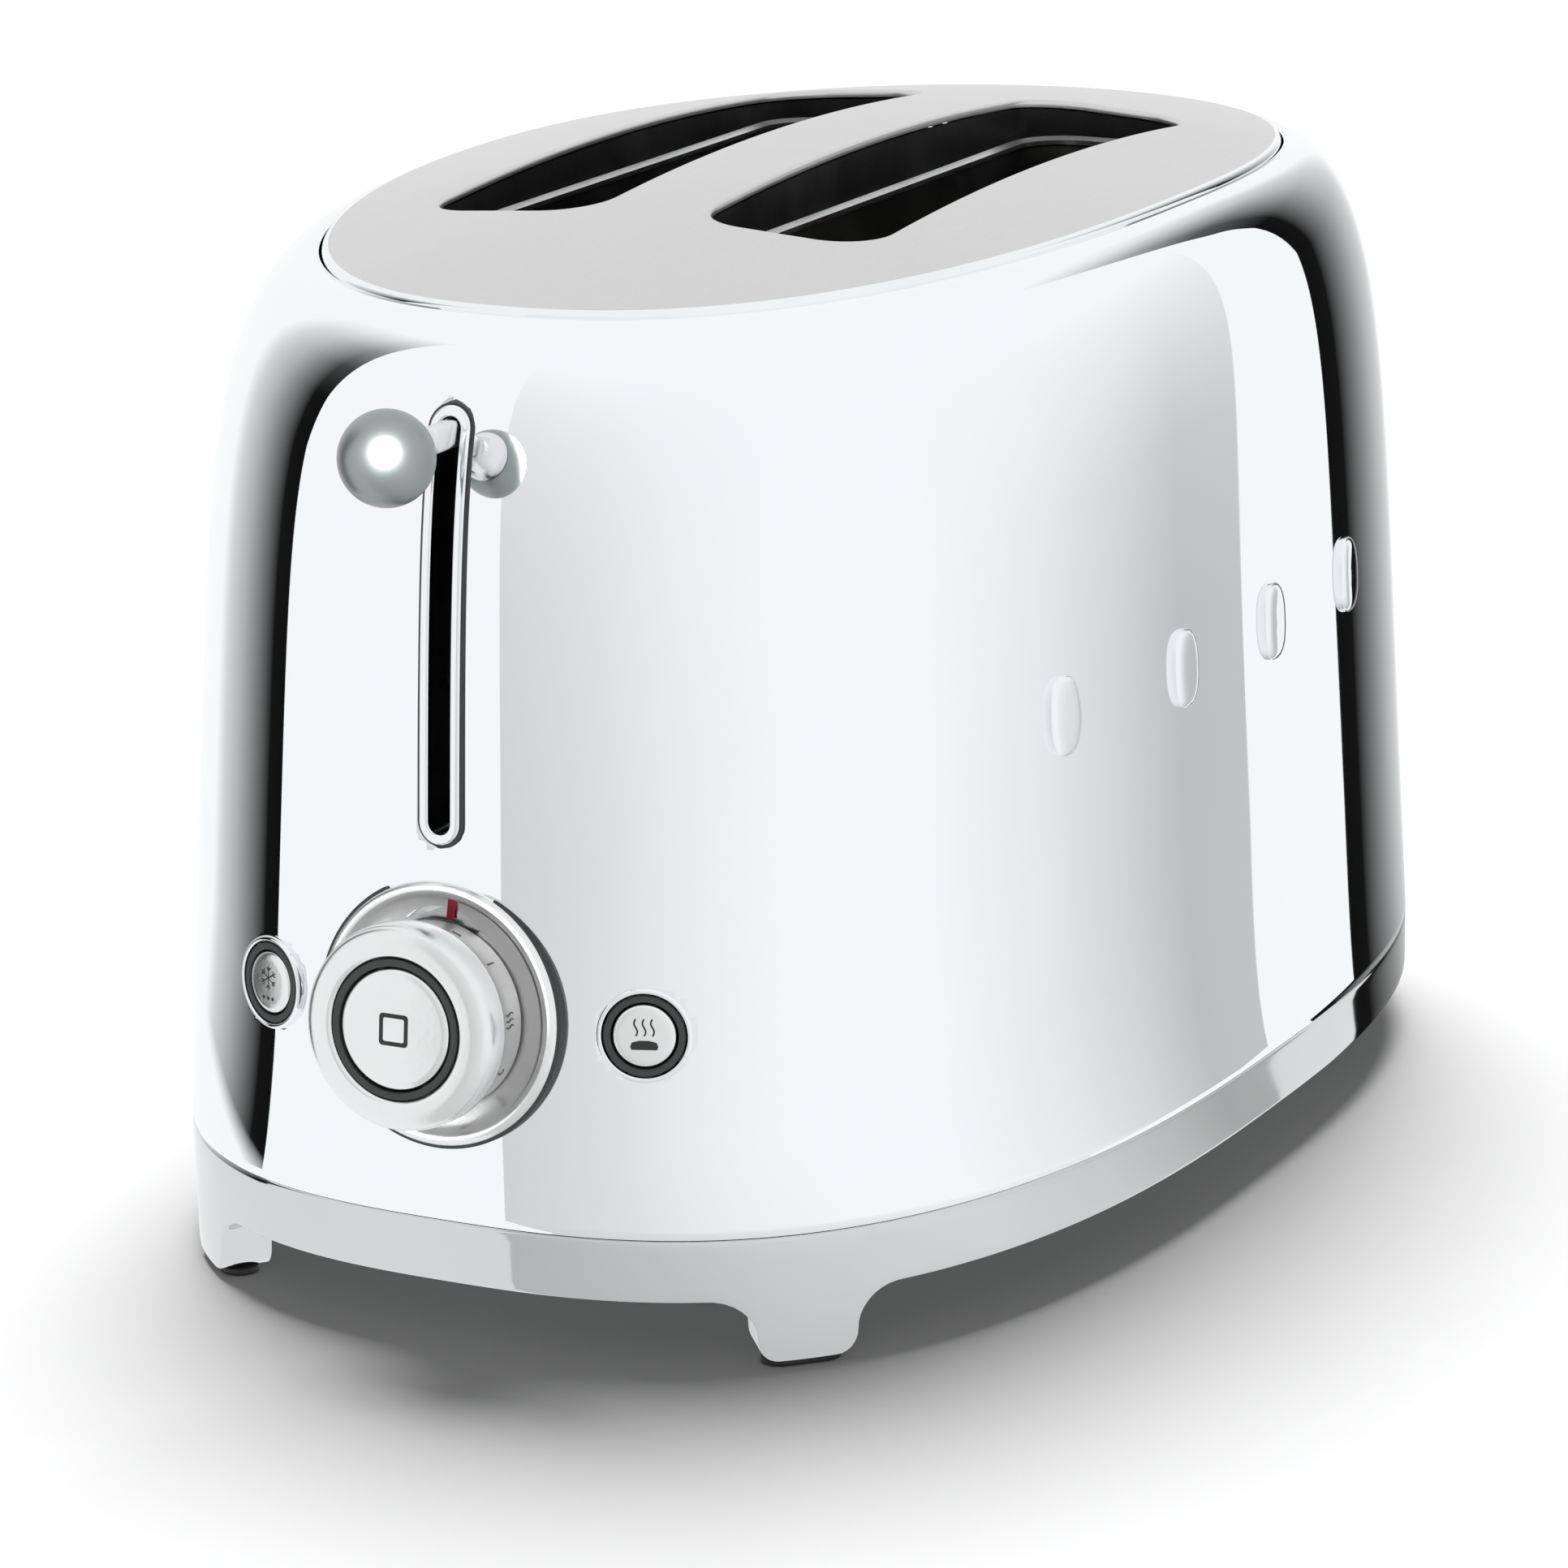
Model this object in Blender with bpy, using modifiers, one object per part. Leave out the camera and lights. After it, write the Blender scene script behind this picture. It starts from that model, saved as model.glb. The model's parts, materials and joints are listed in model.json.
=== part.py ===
"""Two-slot pop-up toaster with a pillow-shaped chrome body, built as separate working pieces.

+X runs along the body and away from the lever, +Y to the far long side, +Z up.
The origin lies on the table, below the middle of the toaster's outer box.
"""

import math

import bmesh
import bpy
from mathutils import Matrix, Vector

MM = 0.001

# Body: plan at the band, plan at the top opening, and how the walls join them.
BODY_LENGTH = 314.8 * MM
BODY_WIDTH = 195.0 * MM
BODY_HEIGHT = 199.0 * MM
BAND_POWER = 2.65
TOP_POWER = 2.2
TOP_INSET_END = 24.9 * MM
TOP_INSET_SIDE = 21.2 * MM
CROWN_DROP_END = 10.9 * MM
CROWN_DROP_SIDE = 7.3 * MM
WALL_TAPER = 0.316
SHOULDER_POWER = 7.3
SHELL_WALL = 1.2 * MM

# Gaps between pieces that touch, and between pieces that slide.
FIT_GAP = 0.3 * MM
SLIDE_GAP = 0.5 * MM

# Base band, legs and pads.
BAND_BOTTOM = 13.5 * MM
BAND_HEIGHT = 11.7 * MM
BAND_WALL = 3.0 * MM
BAND_EDGE = 0.8 * MM
PAD_THICKNESS = 1.1 * MM
PAD_WIDTH = 15.0 * MM
LEG_END_INSET = 21.4 * MM
LEG_TIP_WIDTH = 19.0 * MM
LEG_ROOT_WIDTH = 37.0 * MM
LEG_DEPTH = 10.0 * MM
LEG_TIP_RADIUS = 4.0 * MM

# Floor plate, its screws, the crumb tray and the cord's way out.
PLATE_WALL = 2.0 * MM
PLATE_LIFT = 1.5 * MM
SCREW_X = 60.0 * MM
SCREW_INSET = 15.0 * MM
SCREW_HEAD_RADIUS = 3.2 * MM
SCREW_SHANK_RADIUS = 1.5 * MM
LUG_WIDTH = 10.0 * MM
LUG_HEIGHT = 5.5 * MM
TRAY_WIDTH = 96.0 * MM
TRAY_HEIGHT = 6.0 * MM
TRAY_WALL = 0.8 * MM
TRAY_PULL_WIDTH = 34.0 * MM
TRAY_PULL_REACH = 2.5 * MM
GLAND_END_INSET = 55.4 * MM
GLAND_Y = 61.0 * MM
GLAND_RADIUS = 8.0 * MM
CORD_RADIUS = 3.2 * MM
WRAP_LENGTH = 104.0 * MM
WRAP_WIDTH = 34.0 * MM
WRAP_LIP = 9.0 * MM
WRAP_LIP_WALL = 2.4 * MM
WRAP_GROUND = 3.4 * MM

# Crowned top plate, bread slots and their liners.
TOP_WALL = 1.5 * MM
RIM_GAP = 0.5 * MM
RIM_STEP = 0.8 * MM
SLOT_LENGTH = 152.0 * MM
SLOT_WIDTH = 35.6 * MM
SLOT_SPACING = 22.0 * MM
SLOT_CORNER = 11.0 * MM
LINER_WALL = 0.8 * MM
LINER_DEPTH = 26.0 * MM

# Oven: chassis plates, heater cards, shields, bread guides and racks.
SHEET = 1.2 * MM
CHASSIS_CLEARANCE = 6.0 * MM
CHASSIS_BELOW_TOP = 19.0 * MM
CARD_WALL = 0.8 * MM
CARD_CLEARANCE = 3.5 * MM
CARD_ABOVE_TRAY = 8.0 * MM
SHIELD_SPACING = 5.0 * MM
CHASSIS_MARGIN = 8.0 * MM
GUIDE_WIRE = 1.6 * MM
GUIDE_OUT = 16.2 * MM
GUIDE_BARS = 7
RACK_WALL = 1.5 * MM
RACK_WIDTH = 13.0 * MM
RACK_ARM = 4.0 * MM
RACK_ABOVE_CARD = 8.0 * MM
ARM_SLOT = 6.0 * MM

# Lever, its slot in the body, the carriage and the latch.
LEVER_SLOT_BELOW_TOP = 25.9 * MM
LEVER_SLOT_ABOVE_DIAL = 6.8 * MM
LEVER_SLOT_WIDTH = 4.4 * MM
LEVER_BEZEL_RIM = 1.9 * MM
LEVER_BEZEL_PROUD = 1.0 * MM
ARM_HEIGHT = 5.0 * MM
ARM_WIDTH = 3.4 * MM
BALL_REACH = 22.5 * MM
BALL_RADIUS = 8.7 * MM
COLLAR_RADIUS = 5.8 * MM
COLLAR_NECK = 2.8 * MM
ARM_EDGE = 0.6 * MM
ROD_RADIUS = 2.0 * MM
ROD_SPREAD = 11.0 * MM
ROD_FROM_CHASSIS = 10.0 * MM
CARRIAGE_DEPTH = 11.0 * MM
CARRIAGE_BAR = 4.0 * MM
CARRIAGE_RISE = 28.0 * MM
MAST_WALL = 2.5 * MM
MAST_WIDTH = 16.0 * MM
BRIDGE_WALL = 1.5 * MM
BRIDGE_BELOW_TOP = 21.5 * MM
LATCH_REACH = 8.0 * MM
LATCH_WALL = 1.6 * MM
LATCH_RISE = 19.5 * MM
MAGNET_RADIUS = 4.2 * MM
MAGNET_HEIGHT = 20.0 * MM
SPRING_RADIUS = ROD_RADIUS + 1.5 * MM
SPRING_WIRE = 0.5 * MM
SPRING_TURNS = 11

# Browning dial with the stop button in its middle.
DIAL_Z = 63.9 * MM
DIAL_EXTRA_TILT = math.radians(2.5)
DISH_RADIUS = 24.2 * MM
DISH_PROUD = 2.2 * MM
DISH_FLOOR = 0.6 * MM
DISH_SPIGOT = 17.0 * MM
KNOB_FRONT = 16.95 * MM
KNOB_RADIUS = 18.8 * MM
BARREL_RADIUS = 17.2 * MM
BARREL_LENGTH = 8.2 * MM
HUB_RADIUS = 6.2 * MM
HUB_DEPTH = 10.0 * MM
POCKET_RADIUS = 12.9 * MM
POCKET_DEPTH = 5.7 * MM
STOP_RING_WALL = 1.4 * MM
STEM_RADIUS = 3.0 * MM
PRESS_TRAVEL = 1.2 * MM

# Small push buttons on both sides of the dial, switches and control board.
BUTTON_SPREAD = 38.4 * MM
BUTTON_Z = 63.2 * MM
BUTTON_RADIUS = 5.8 * MM
BUTTON_PROUD = 1.1 * MM
SEAL_WALL = 1.3 * MM
BEZEL_WALL = 1.0 * MM
BUTTON_STEM_RADIUS = 2.4 * MM
BUTTON_STEM_DEPTH = 7.4 * MM
SWITCH_SIZE = 5.0 * MM
SWITCH_DEPTH = 3.3 * MM
BOARD_BACK = 20.0 * MM
BOARD_WALL = 1.6 * MM
BOARD_WIDTH = 88.0 * MM
BOARD_BELOW = 31.0 * MM
BOARD_ABOVE = 27.0 * MM

# Four plain raised ovals on the front long side.
STUD_FIRST_X = -78.6 * MM
STUD_PITCH = 41.2 * MM
STUD_Z = 110.0 * MM
STUD_WIDTH = 9.0 * MM
STUD_HEIGHT = 15.0 * MM
STUD_PROUD = 1.8 * MM
STUD_COUNT = 4

# How finely round things are divided.
RIM_SEGMENTS = 52
SHELL_ROWS = 7
PLATE_RINGS = 4
TURN_STEPS = 24
COLLAR_STEPS = 5
BALL_STEPS = 10

# Sizes that follow from the ones above.
LEG_X = BODY_LENGTH / 2 - LEG_END_INSET
GLAND_X = BODY_LENGTH / 2 - GLAND_END_INSET
BAND_TOP = BAND_BOTTOM + BAND_HEIGHT
SHELL_BOTTOM = BAND_TOP + FIT_GAP
TOP_HALF_X = BODY_LENGTH / 2 - TOP_INSET_END
TOP_HALF_Y = BODY_WIDTH / 2 - TOP_INSET_SIDE
LEG_BOTTOM = PAD_THICKNESS + FIT_GAP
PLATE_BOTTOM = BAND_BOTTOM + PLATE_LIFT
PLATE_TOP = PLATE_BOTTOM + PLATE_WALL
TRAY_BOTTOM = PLATE_TOP + SLIDE_GAP
TRAY_TOP = TRAY_BOTTOM + TRAY_HEIGHT
SLOT_Y = SLOT_SPACING / 2 + SLOT_WIDTH / 2
CARD_OUT_Y = SLOT_Y + SLOT_WIDTH / 2 + CARD_CLEARANCE
SHIELD_Y = CARD_OUT_Y + SHIELD_SPACING
CHASSIS_X = SLOT_LENGTH / 2 + CHASSIS_CLEARANCE
CHASSIS_HALF_WIDTH = SHIELD_Y + CHASSIS_MARGIN
CHASSIS_TOP = BODY_HEIGHT - CHASSIS_BELOW_TOP
CARD_BOTTOM = TRAY_TOP + CARD_ABOVE_TRAY
CARD_HALF_LENGTH = CHASSIS_X - SHEET / 2 - FIT_GAP
RACK_LOW_Z = CARD_BOTTOM + RACK_ABOVE_CARD
BEZEL_TOP = BODY_HEIGHT - LEVER_SLOT_BELOW_TOP
BEZEL_BOTTOM = DIAL_Z + DISH_RADIUS + LEVER_SLOT_ABOVE_DIAL
LEVER_Z = BEZEL_TOP - LEVER_BEZEL_RIM - SLIDE_GAP - ARM_HEIGHT / 2
LEVER_LOW_Z = BEZEL_BOTTOM + LEVER_BEZEL_RIM + SLIDE_GAP + ARM_HEIGHT / 2
LEVER_TRAVEL = LEVER_Z - LEVER_LOW_Z
RACK_Z = RACK_LOW_Z + LEVER_TRAVEL
ROD_X = -(CHASSIS_X + ROD_FROM_CHASSIS)
MAST_X = ROD_X - CARRIAGE_DEPTH / 2
BRIDGE_Z = BODY_HEIGHT - BRIDGE_BELOW_TOP
BAR_TOP = RACK_Z - RACK_WALL / 2 - FIT_GAP
UPPER_BAR_TOP = BAR_TOP + CARRIAGE_RISE
LATCH_Z = BAR_TOP + LATCH_RISE


def crown(x, y):
    """Height of the top plate's surface, which falls away towards its ends and sides."""
    return BODY_HEIGHT - CROWN_DROP_END * (x / TOP_HALF_X) ** 2 - CROWN_DROP_SIDE * (y / TOP_HALF_Y) ** 2


def superellipse_point(half_x, half_y, power, angle):
    c, s = math.cos(angle), math.sin(angle)
    return (math.copysign(half_x * abs(c) ** (2 / power), c),
            math.copysign(half_y * abs(s) ** (2 / power), s))


def superellipse(half_x, half_y, power, count=RIM_SEGMENTS):
    """A rounded outline between an ellipse and a rectangle, counter-clockwise."""
    return [superellipse_point(half_x, half_y, power, 2 * math.pi * i / count) for i in range(count)]


def band_outline(inset):
    return superellipse(BODY_LENGTH / 2 - inset, BODY_WIDTH / 2 - inset, BAND_POWER)


def top_outline(grow):
    return superellipse(TOP_HALF_X + grow, TOP_HALF_Y + grow, TOP_POWER)


def skin_between(foot, rim, rise, grow=0.0):
    """A point of the shell's skin above one point of the band, at a share of the height."""
    draw = WALL_TAPER * rise + (1 - WALL_TAPER) * (1 - math.sqrt(max(0.0, 1 - rise ** SHOULDER_POWER)))
    top = crown(*rim) - RIM_STEP + grow
    return Vector((foot[0] + (rim[0] - foot[0]) * draw,
                   foot[1] + (rim[1] - foot[1]) * draw,
                   SHELL_BOTTOM + (top - SHELL_BOTTOM) * rise))


def shell_rings(grow=0.0):
    """Closed rings from the band to the top opening, close together where the shoulder turns."""
    foot = band_outline(-grow)
    rim = top_outline(RIM_GAP + grow)
    rings = []
    for row in range(SHELL_ROWS + 1):
        rise = math.sin(math.pi / 2 * row / SHELL_ROWS) ** (2 / SHOULDER_POWER)
        rings.append([skin_between(f, r, rise, grow) for f, r in zip(foot, rim)])
    return rings


def skin_at(angle, z):
    """Point and outward normal of the shell's skin, from the plan angle and the height."""

    def point(a, height):
        foot = superellipse_point(BODY_LENGTH / 2, BODY_WIDTH / 2, BAND_POWER, a)
        rim = superellipse_point(TOP_HALF_X + RIM_GAP, TOP_HALF_Y + RIM_GAP, TOP_POWER, a)
        top = crown(*rim) - RIM_STEP
        return skin_between(foot, rim, (height - SHELL_BOTTOM) / (top - SHELL_BOTTOM))

    step_angle, step_z = 0.02, 1.0 * MM
    along = point(angle + step_angle, z) - point(angle - step_angle, z)
    upward = point(angle, z + step_z) - point(angle, z - step_z)
    return point(angle, z), along.cross(upward).normalized()


def skin_where(axis, wanted, low_angle, high_angle, z):
    """Skin point at a wanted x (axis 0) or y (axis 1), where that coordinate rises with the angle."""
    for _ in range(50):
        middle = (low_angle + high_angle) / 2
        if skin_at(middle, z)[0][axis] < wanted:
            low_angle = middle
        else:
            high_angle = middle
    return skin_at(low_angle, z)


def end_x(z):
    """How far the lever end reaches from the body's middle at a height."""
    return -skin_at(math.pi, z)[0].x


BALL_X = -(end_x(LEVER_Z) + BALL_REACH)
REAR_X = BODY_LENGTH / 2 + TRAY_PULL_REACH
MIDDLE_X = (-(BALL_X - BALL_RADIUS) - REAR_X) / 2

# ---------------------------------------------------------------- scene and helpers

for old in list(bpy.data.objects):
    bpy.data.objects.remove(old)
toaster = bpy.data.collections.new("pop_up_toaster")
cutters = bpy.data.collections.new("cutters")
bpy.context.scene.collection.children.link(toaster)
bpy.context.scene.collection.children.link(cutters)
frame = bpy.data.objects.new("toaster_frame", None)
frame.location = (MIDDLE_X, 0, 0)
toaster.objects.link(frame)


def finish(name, colour, roughness, metallic):
    material = bpy.data.materials.new(name)
    material.use_nodes = True
    shader = material.node_tree.nodes["Principled BSDF"]
    shader.inputs["Base Color"].default_value = (*colour, 1)
    shader.inputs["Roughness"].default_value = roughness
    shader.inputs["Metallic"].default_value = metallic
    return material


CHROME = finish("polished_chrome", (0.86, 0.87, 0.88), 0.06, 1.0)
SATIN = finish("satin_steel", (0.62, 0.61, 0.60), 0.35, 1.0)
BLACK_STEEL = finish("black_enamel", (0.02, 0.02, 0.02), 0.45, 0.0)
ZINC = finish("zinc_plated_steel", (0.55, 0.56, 0.58), 0.4, 1.0)
MICA = finish("mica_board", (0.55, 0.45, 0.33), 0.6, 0.0)
DARK_PLASTIC = finish("dark_plastic", (0.05, 0.055, 0.06), 0.4, 0.0)
RUBBER = finish("rubber", (0.03, 0.03, 0.03), 0.8, 0.0)
COPPER = finish("copper_winding", (0.72, 0.38, 0.2), 0.35, 1.0)
BOARD_GREEN = finish("circuit_board", (0.05, 0.2, 0.1), 0.5, 0.0)


def mesh_from(name, build):
    mesh = bpy.data.meshes.new(name)
    bm = bmesh.new()
    build(bm)
    bmesh.ops.recalc_face_normals(bm, faces=bm.faces)
    bm.to_mesh(mesh)
    bm.free()
    return mesh


def add(name, data, material):
    """A finished piece of the toaster, placed from the body's middle."""
    data.materials.append(material)
    piece = bpy.data.objects.new(name, data)
    piece.parent = frame
    toaster.objects.link(piece)
    return piece


def as_cutter(piece):
    """Turns a piece into a hidden tool that only cuts or joins others."""
    toaster.objects.unlink(piece)
    cutters.objects.link(piece)
    piece.hide_render = True
    piece.display_type = "WIRE"
    return piece


def boolean(piece, tool, operation):
    modifier = piece.modifiers.new(tool.name, "BOOLEAN")
    modifier.operation = operation
    modifier.object = tool
    modifier.solver = "EXACT"
    return piece


def place(piece, origin, axis, upward=Vector((0, 0, 1))):
    """Puts the piece's own Z along an axis, with its own Y as near to upward as it can be."""
    z = Vector(axis).normalized()
    x = upward.cross(z).normalized()
    y = z.cross(x)
    turn = Matrix((x, y, z)).transposed().to_4x4()
    piece.matrix_local = Matrix.Translation(origin) @ turn
    return piece


def smooth(mesh, sharp_angle=math.radians(40)):
    mesh.shade_smooth()
    mesh.set_sharp_from_angle(angle=sharp_angle)


def box(name, low, high, material, bevel=0.0):
    """An upright block between two corners, with its edges rounded where a bevel is given."""
    low, high = Vector(low), Vector(high)
    size, middle = high - low, (high + low) / 2

    def build(bm):
        bmesh.ops.create_cube(bm, size=1)
        bmesh.ops.scale(bm, vec=size, verts=bm.verts)

    piece = add(name, mesh_from(name, build), material)
    piece.location = middle
    if bevel:
        rounding = piece.modifiers.new("rounded_edges", "BEVEL")
        rounding.width = bevel
        rounding.segments = 2
    return piece


def cylinder(name, radius, low, high, material, steps=TURN_STEPS):
    """A round bar along the piece's own Z."""

    def build(bm):
        bmesh.ops.create_cone(bm, cap_ends=True, segments=steps, radius1=radius, radius2=radius,
                              depth=high - low)
        bmesh.ops.translate(bm, vec=(0, 0, (high + low) / 2), verts=bm.verts)

    piece = add(name, mesh_from(name, build), material)
    smooth(piece.data)
    return piece


def turned(name, profile, material, closed, steps=TURN_STEPS):
    """A lathe shape: a profile of (radius, height) that runs down its outer side."""
    mesh = bpy.data.meshes.new(name)
    bm = bmesh.new()
    points = [bm.verts.new((radius, 0, height)) for radius, height in profile]
    for a, b in zip(points, points[1:]):
        bm.edges.new((a, b))
    if closed:
        bm.edges.new((points[-1], points[0]))
    bm.to_mesh(mesh)
    bm.free()
    piece = add(name, mesh, material)
    screw = piece.modifiers.new("turn", "SCREW")
    screw.axis = "Z"
    screw.steps = steps
    screw.render_steps = steps
    screw.use_merge_vertices = True
    screw.merge_threshold = 0.00001
    screw.use_smooth_shade = True
    return piece


def flat(name, outlines, thickness, material):
    """A sheet cut to an outline, with any further outlines as holes, lying in the piece's own XY."""
    curve = bpy.data.curves.new(name, "CURVE")
    curve.dimensions = "2D"
    curve.fill_mode = "BOTH"
    curve.extrude = thickness / 2
    for outline in outlines:
        spline = curve.splines.new("POLY")
        spline.points.add(len(outline) - 1)
        for point, (x, y) in zip(spline.points, outline):
            point.co = (x, y, 0, 1)
        spline.use_cyclic_u = True
    return add(name, curve, material)


def meshed(piece):
    """The same piece as a closed mesh, so that it can be cut or joined."""
    bpy.context.view_layer.update()
    evaluated = piece.evaluated_get(bpy.context.evaluated_depsgraph_get())
    mesh = bpy.data.meshes.new_from_object(evaluated)
    bm = bmesh.new()
    bm.from_mesh(mesh)
    bmesh.ops.remove_doubles(bm, verts=bm.verts, dist=0.000001)
    bmesh.ops.recalc_face_normals(bm, faces=bm.faces)
    bm.to_mesh(mesh)
    bm.free()
    solid = bpy.data.objects.new(piece.name, mesh)
    name, local = piece.name, piece.matrix_local.copy()
    bpy.data.objects.remove(piece)
    solid.name = name
    solid.parent = frame
    solid.matrix_local = local
    toaster.objects.link(solid)
    return solid


def loft(bm, rings, close_ends):
    """Skins a list of equal rings; the ends are closed by fans, or joined to each other."""
    rows = [[bm.verts.new(p) for p in ring] for ring in rings]
    count = len(rows[0])
    pairs = list(zip(rows, rows[1:]))
    if close_ends == "loop":
        pairs.append((rows[-1], rows[0]))
    for lower, upper in pairs:
        for i in range(count):
            j = (i + 1) % count
            bm.faces.new((lower[i], lower[j], upper[j], upper[i]))
    if close_ends == "fans":
        for row in (rows[0], rows[-1]):
            middle = sum((v.co for v in row), Vector()) / count
            if row is rows[-1]:
                middle.z = crown(0, 0)
            hub = bm.verts.new(middle)
            for i in range(count):
                bm.faces.new((row[i], row[(i + 1) % count], hub))


def around_band(name, section, material):
    """A bar that follows the band all round, from its section of (inset, height) points."""
    rings = [[Vector((x, y, z)) for x, y in band_outline(inset)] for inset, z in section]
    return add(name, mesh_from(name, lambda bm: loft(bm, rings, "loop")), material)


def rounded_rectangle(half_x, half_y, radius, corner_steps=6, centre=(0, 0)):
    """A rectangle with round corners, counter-clockwise."""
    radius = min(radius, half_x, half_y)
    points = []
    for quarter, (sx, sy) in enumerate(((1, 1), (-1, 1), (-1, -1), (1, -1))):
        for i in range(corner_steps + 1):
            a = math.pi / 2 * (quarter + i / corner_steps)
            points.append((centre[0] + sx * (half_x - radius) + radius * math.cos(a),
                           centre[1] + sy * (half_y - radius) + radius * math.sin(a)))
    return points


def rectangle(low_x, low_y, high_x, high_y):
    return [(low_x, low_y), (high_x, low_y), (high_x, high_y), (low_x, high_y)]


def circle(radius, centre=(0, 0), count=16):
    return [(centre[0] + radius * math.cos(2 * math.pi * i / count),
             centre[1] + radius * math.sin(2 * math.pi * i / count)) for i in range(count)]


def upright_x(piece, x):
    """Stands a flat sheet across the body: its own X becomes +Y and its own Y becomes +Z."""
    return place(piece, (x, 0, 0), (1, 0, 0))


def upright_y(piece, y):
    """Stands a flat sheet along the body: its own X becomes +X and its own Y becomes +Z."""
    return place(piece, (0, y, 0), (0, -1, 0))


def grown_shell(name, grow):
    """The whole body as one solid, a little larger than the shell: a tool for seating pieces on it."""
    rings = shell_rings(grow)
    foot = [Vector((p.x, p.y, BAND_BOTTOM)) for p in rings[0]]
    return as_cutter(add(name, mesh_from(name, lambda bm: loft(bm, [foot] + rings, "fans")), CHROME))


# ---------------------------------------------------------------- base

def leg_outline():
    """A leg seen from outside: a short foot that sweeps up into the band."""
    half_tip, half_root = LEG_TIP_WIDTH / 2, LEG_ROOT_WIDTH / 2
    sweep = half_root - half_tip
    right = []
    for i in range(5):
        a = math.pi / 2 * i / 4
        right.append((half_tip - LEG_TIP_RADIUS * (1 - math.sin(a)) + 1.0 * MM * i / 4,
                      LEG_BOTTOM + LEG_TIP_RADIUS * (1 - math.cos(a))))
    for i in range(1, 6):
        a = math.pi / 2 * i / 5
        right.append((half_tip + 1.0 * MM + (sweep - 1.0 * MM) * (1 - math.cos(a)),
                      LEG_BOTTOM + LEG_TIP_RADIUS
                      + (BAND_BOTTOM - LEG_BOTTOM - LEG_TIP_RADIUS) * math.sin(a)))
    right.append((half_root, BAND_BOTTOM + BAND_HEIGHT / 2))
    return right + [(-x, z) for x, z in reversed(right)]


def leg_frame(side_x, side_y):
    """Place and outward direction of one leg on the band."""
    angle = math.acos((LEG_X / (BODY_LENGTH / 2)) ** (BAND_POWER / 2))
    x, y = superellipse_point(BODY_LENGTH / 2, BODY_WIDTH / 2, BAND_POWER, angle)
    outward = Vector((x ** (BAND_POWER - 1) / (BODY_LENGTH / 2) ** BAND_POWER,
                      y ** (BAND_POWER - 1) / (BODY_WIDTH / 2) ** BAND_POWER, 0)).normalized()
    return Vector((side_x * x, side_y * y, 0)), Vector((side_x * outward.x, side_y * outward.y, 0))


CORNERS = {"front_left": (-1, -1), "front_right": (1, -1), "rear_left": (-1, 1), "rear_right": (1, 1)}


def screw_place(side_x, side_y):
    angle = math.acos((SCREW_X / (BODY_LENGTH / 2)) ** (BAND_POWER / 2))
    edge_y = superellipse_point(BODY_LENGTH / 2, BODY_WIDTH / 2, BAND_POWER, angle)[1]
    return Vector((side_x * SCREW_X, side_y * (edge_y - SCREW_INSET), 0))


def build_base_ring():
    """A skirt with an inner ledge, cut away between the four legs; lugs inside take the floor's screws."""
    ledge_top = PLATE_BOTTOM - FIT_GAP
    ring = around_band("base_ring", [
        (0, 0), (0, BAND_TOP - BAND_EDGE), (BAND_EDGE, BAND_TOP), (BAND_WALL, BAND_TOP),
        (BAND_WALL, ledge_top), (LEG_DEPTH, ledge_top), (LEG_DEPTH, 0)], CHROME)
    reach = BODY_LENGTH
    below = box("between_legs", (-reach, -reach, -BAND_BOTTOM), (reach, reach, BAND_BOTTOM), CHROME)
    boolean(ring, as_cutter(below), "DIFFERENCE")
    for name, sides in CORNERS.items():
        origin, outward = leg_frame(*sides)
        leg = meshed(flat("leg_" + name, [leg_outline()], 3 * LEG_ROOT_WIDTH, CHROME))
        place(leg, origin, outward)
        boolean(below, as_cutter(leg), "DIFFERENCE")
        spot = screw_place(*sides)
        lug_low = PLATE_TOP + FIT_GAP
        wall_y = spot.y + sides[1] * (SCREW_INSET - BAND_WALL / 2)
        inner_y = spot.y - sides[1] * LUG_WIDTH / 2
        lug = box("lug_" + name,
                  (spot.x - LUG_WIDTH / 2, min(wall_y, inner_y), lug_low),
                  (spot.x + LUG_WIDTH / 2, max(wall_y, inner_y), lug_low + LUG_HEIGHT), CHROME)
        boolean(ring, as_cutter(lug), "UNION")
        hole = cylinder("lug_hole_" + name, SCREW_SHANK_RADIUS + FIT_GAP, PLATE_BOTTOM, BAND_TOP + BAND_WALL,
                        CHROME, 16)
        hole.location = spot
        boolean(ring, as_cutter(hole), "DIFFERENCE")
    half = TRAY_WIDTH / 2 + SLIDE_GAP
    window = box("tray_window", (CHASSIS_X, -half, TRAY_BOTTOM - SLIDE_GAP - FIT_GAP),
                 (BODY_LENGTH, half, TRAY_TOP + SLIDE_GAP), CHROME)
    boolean(ring, as_cutter(window), "DIFFERENCE")
    return ring


def build_pads():
    for name, sides in CORNERS.items():
        origin, outward = leg_frame(*sides)
        half_deep = (LEG_DEPTH - 3.0 * MM) / 2
        centre = origin - outward * (LEG_DEPTH / 2 + 0.3 * MM)
        pad = flat("foot_pad_" + name, [rounded_rectangle(half_deep, PAD_WIDTH / 2, half_deep, 4)],
                   PAD_THICKNESS, RUBBER)
        pad.matrix_local = (Matrix.Translation(centre + Vector((0, 0, PAD_THICKNESS / 2)))
                            @ Matrix.Rotation(math.atan2(outward.y, outward.x), 4, "Z"))


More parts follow.
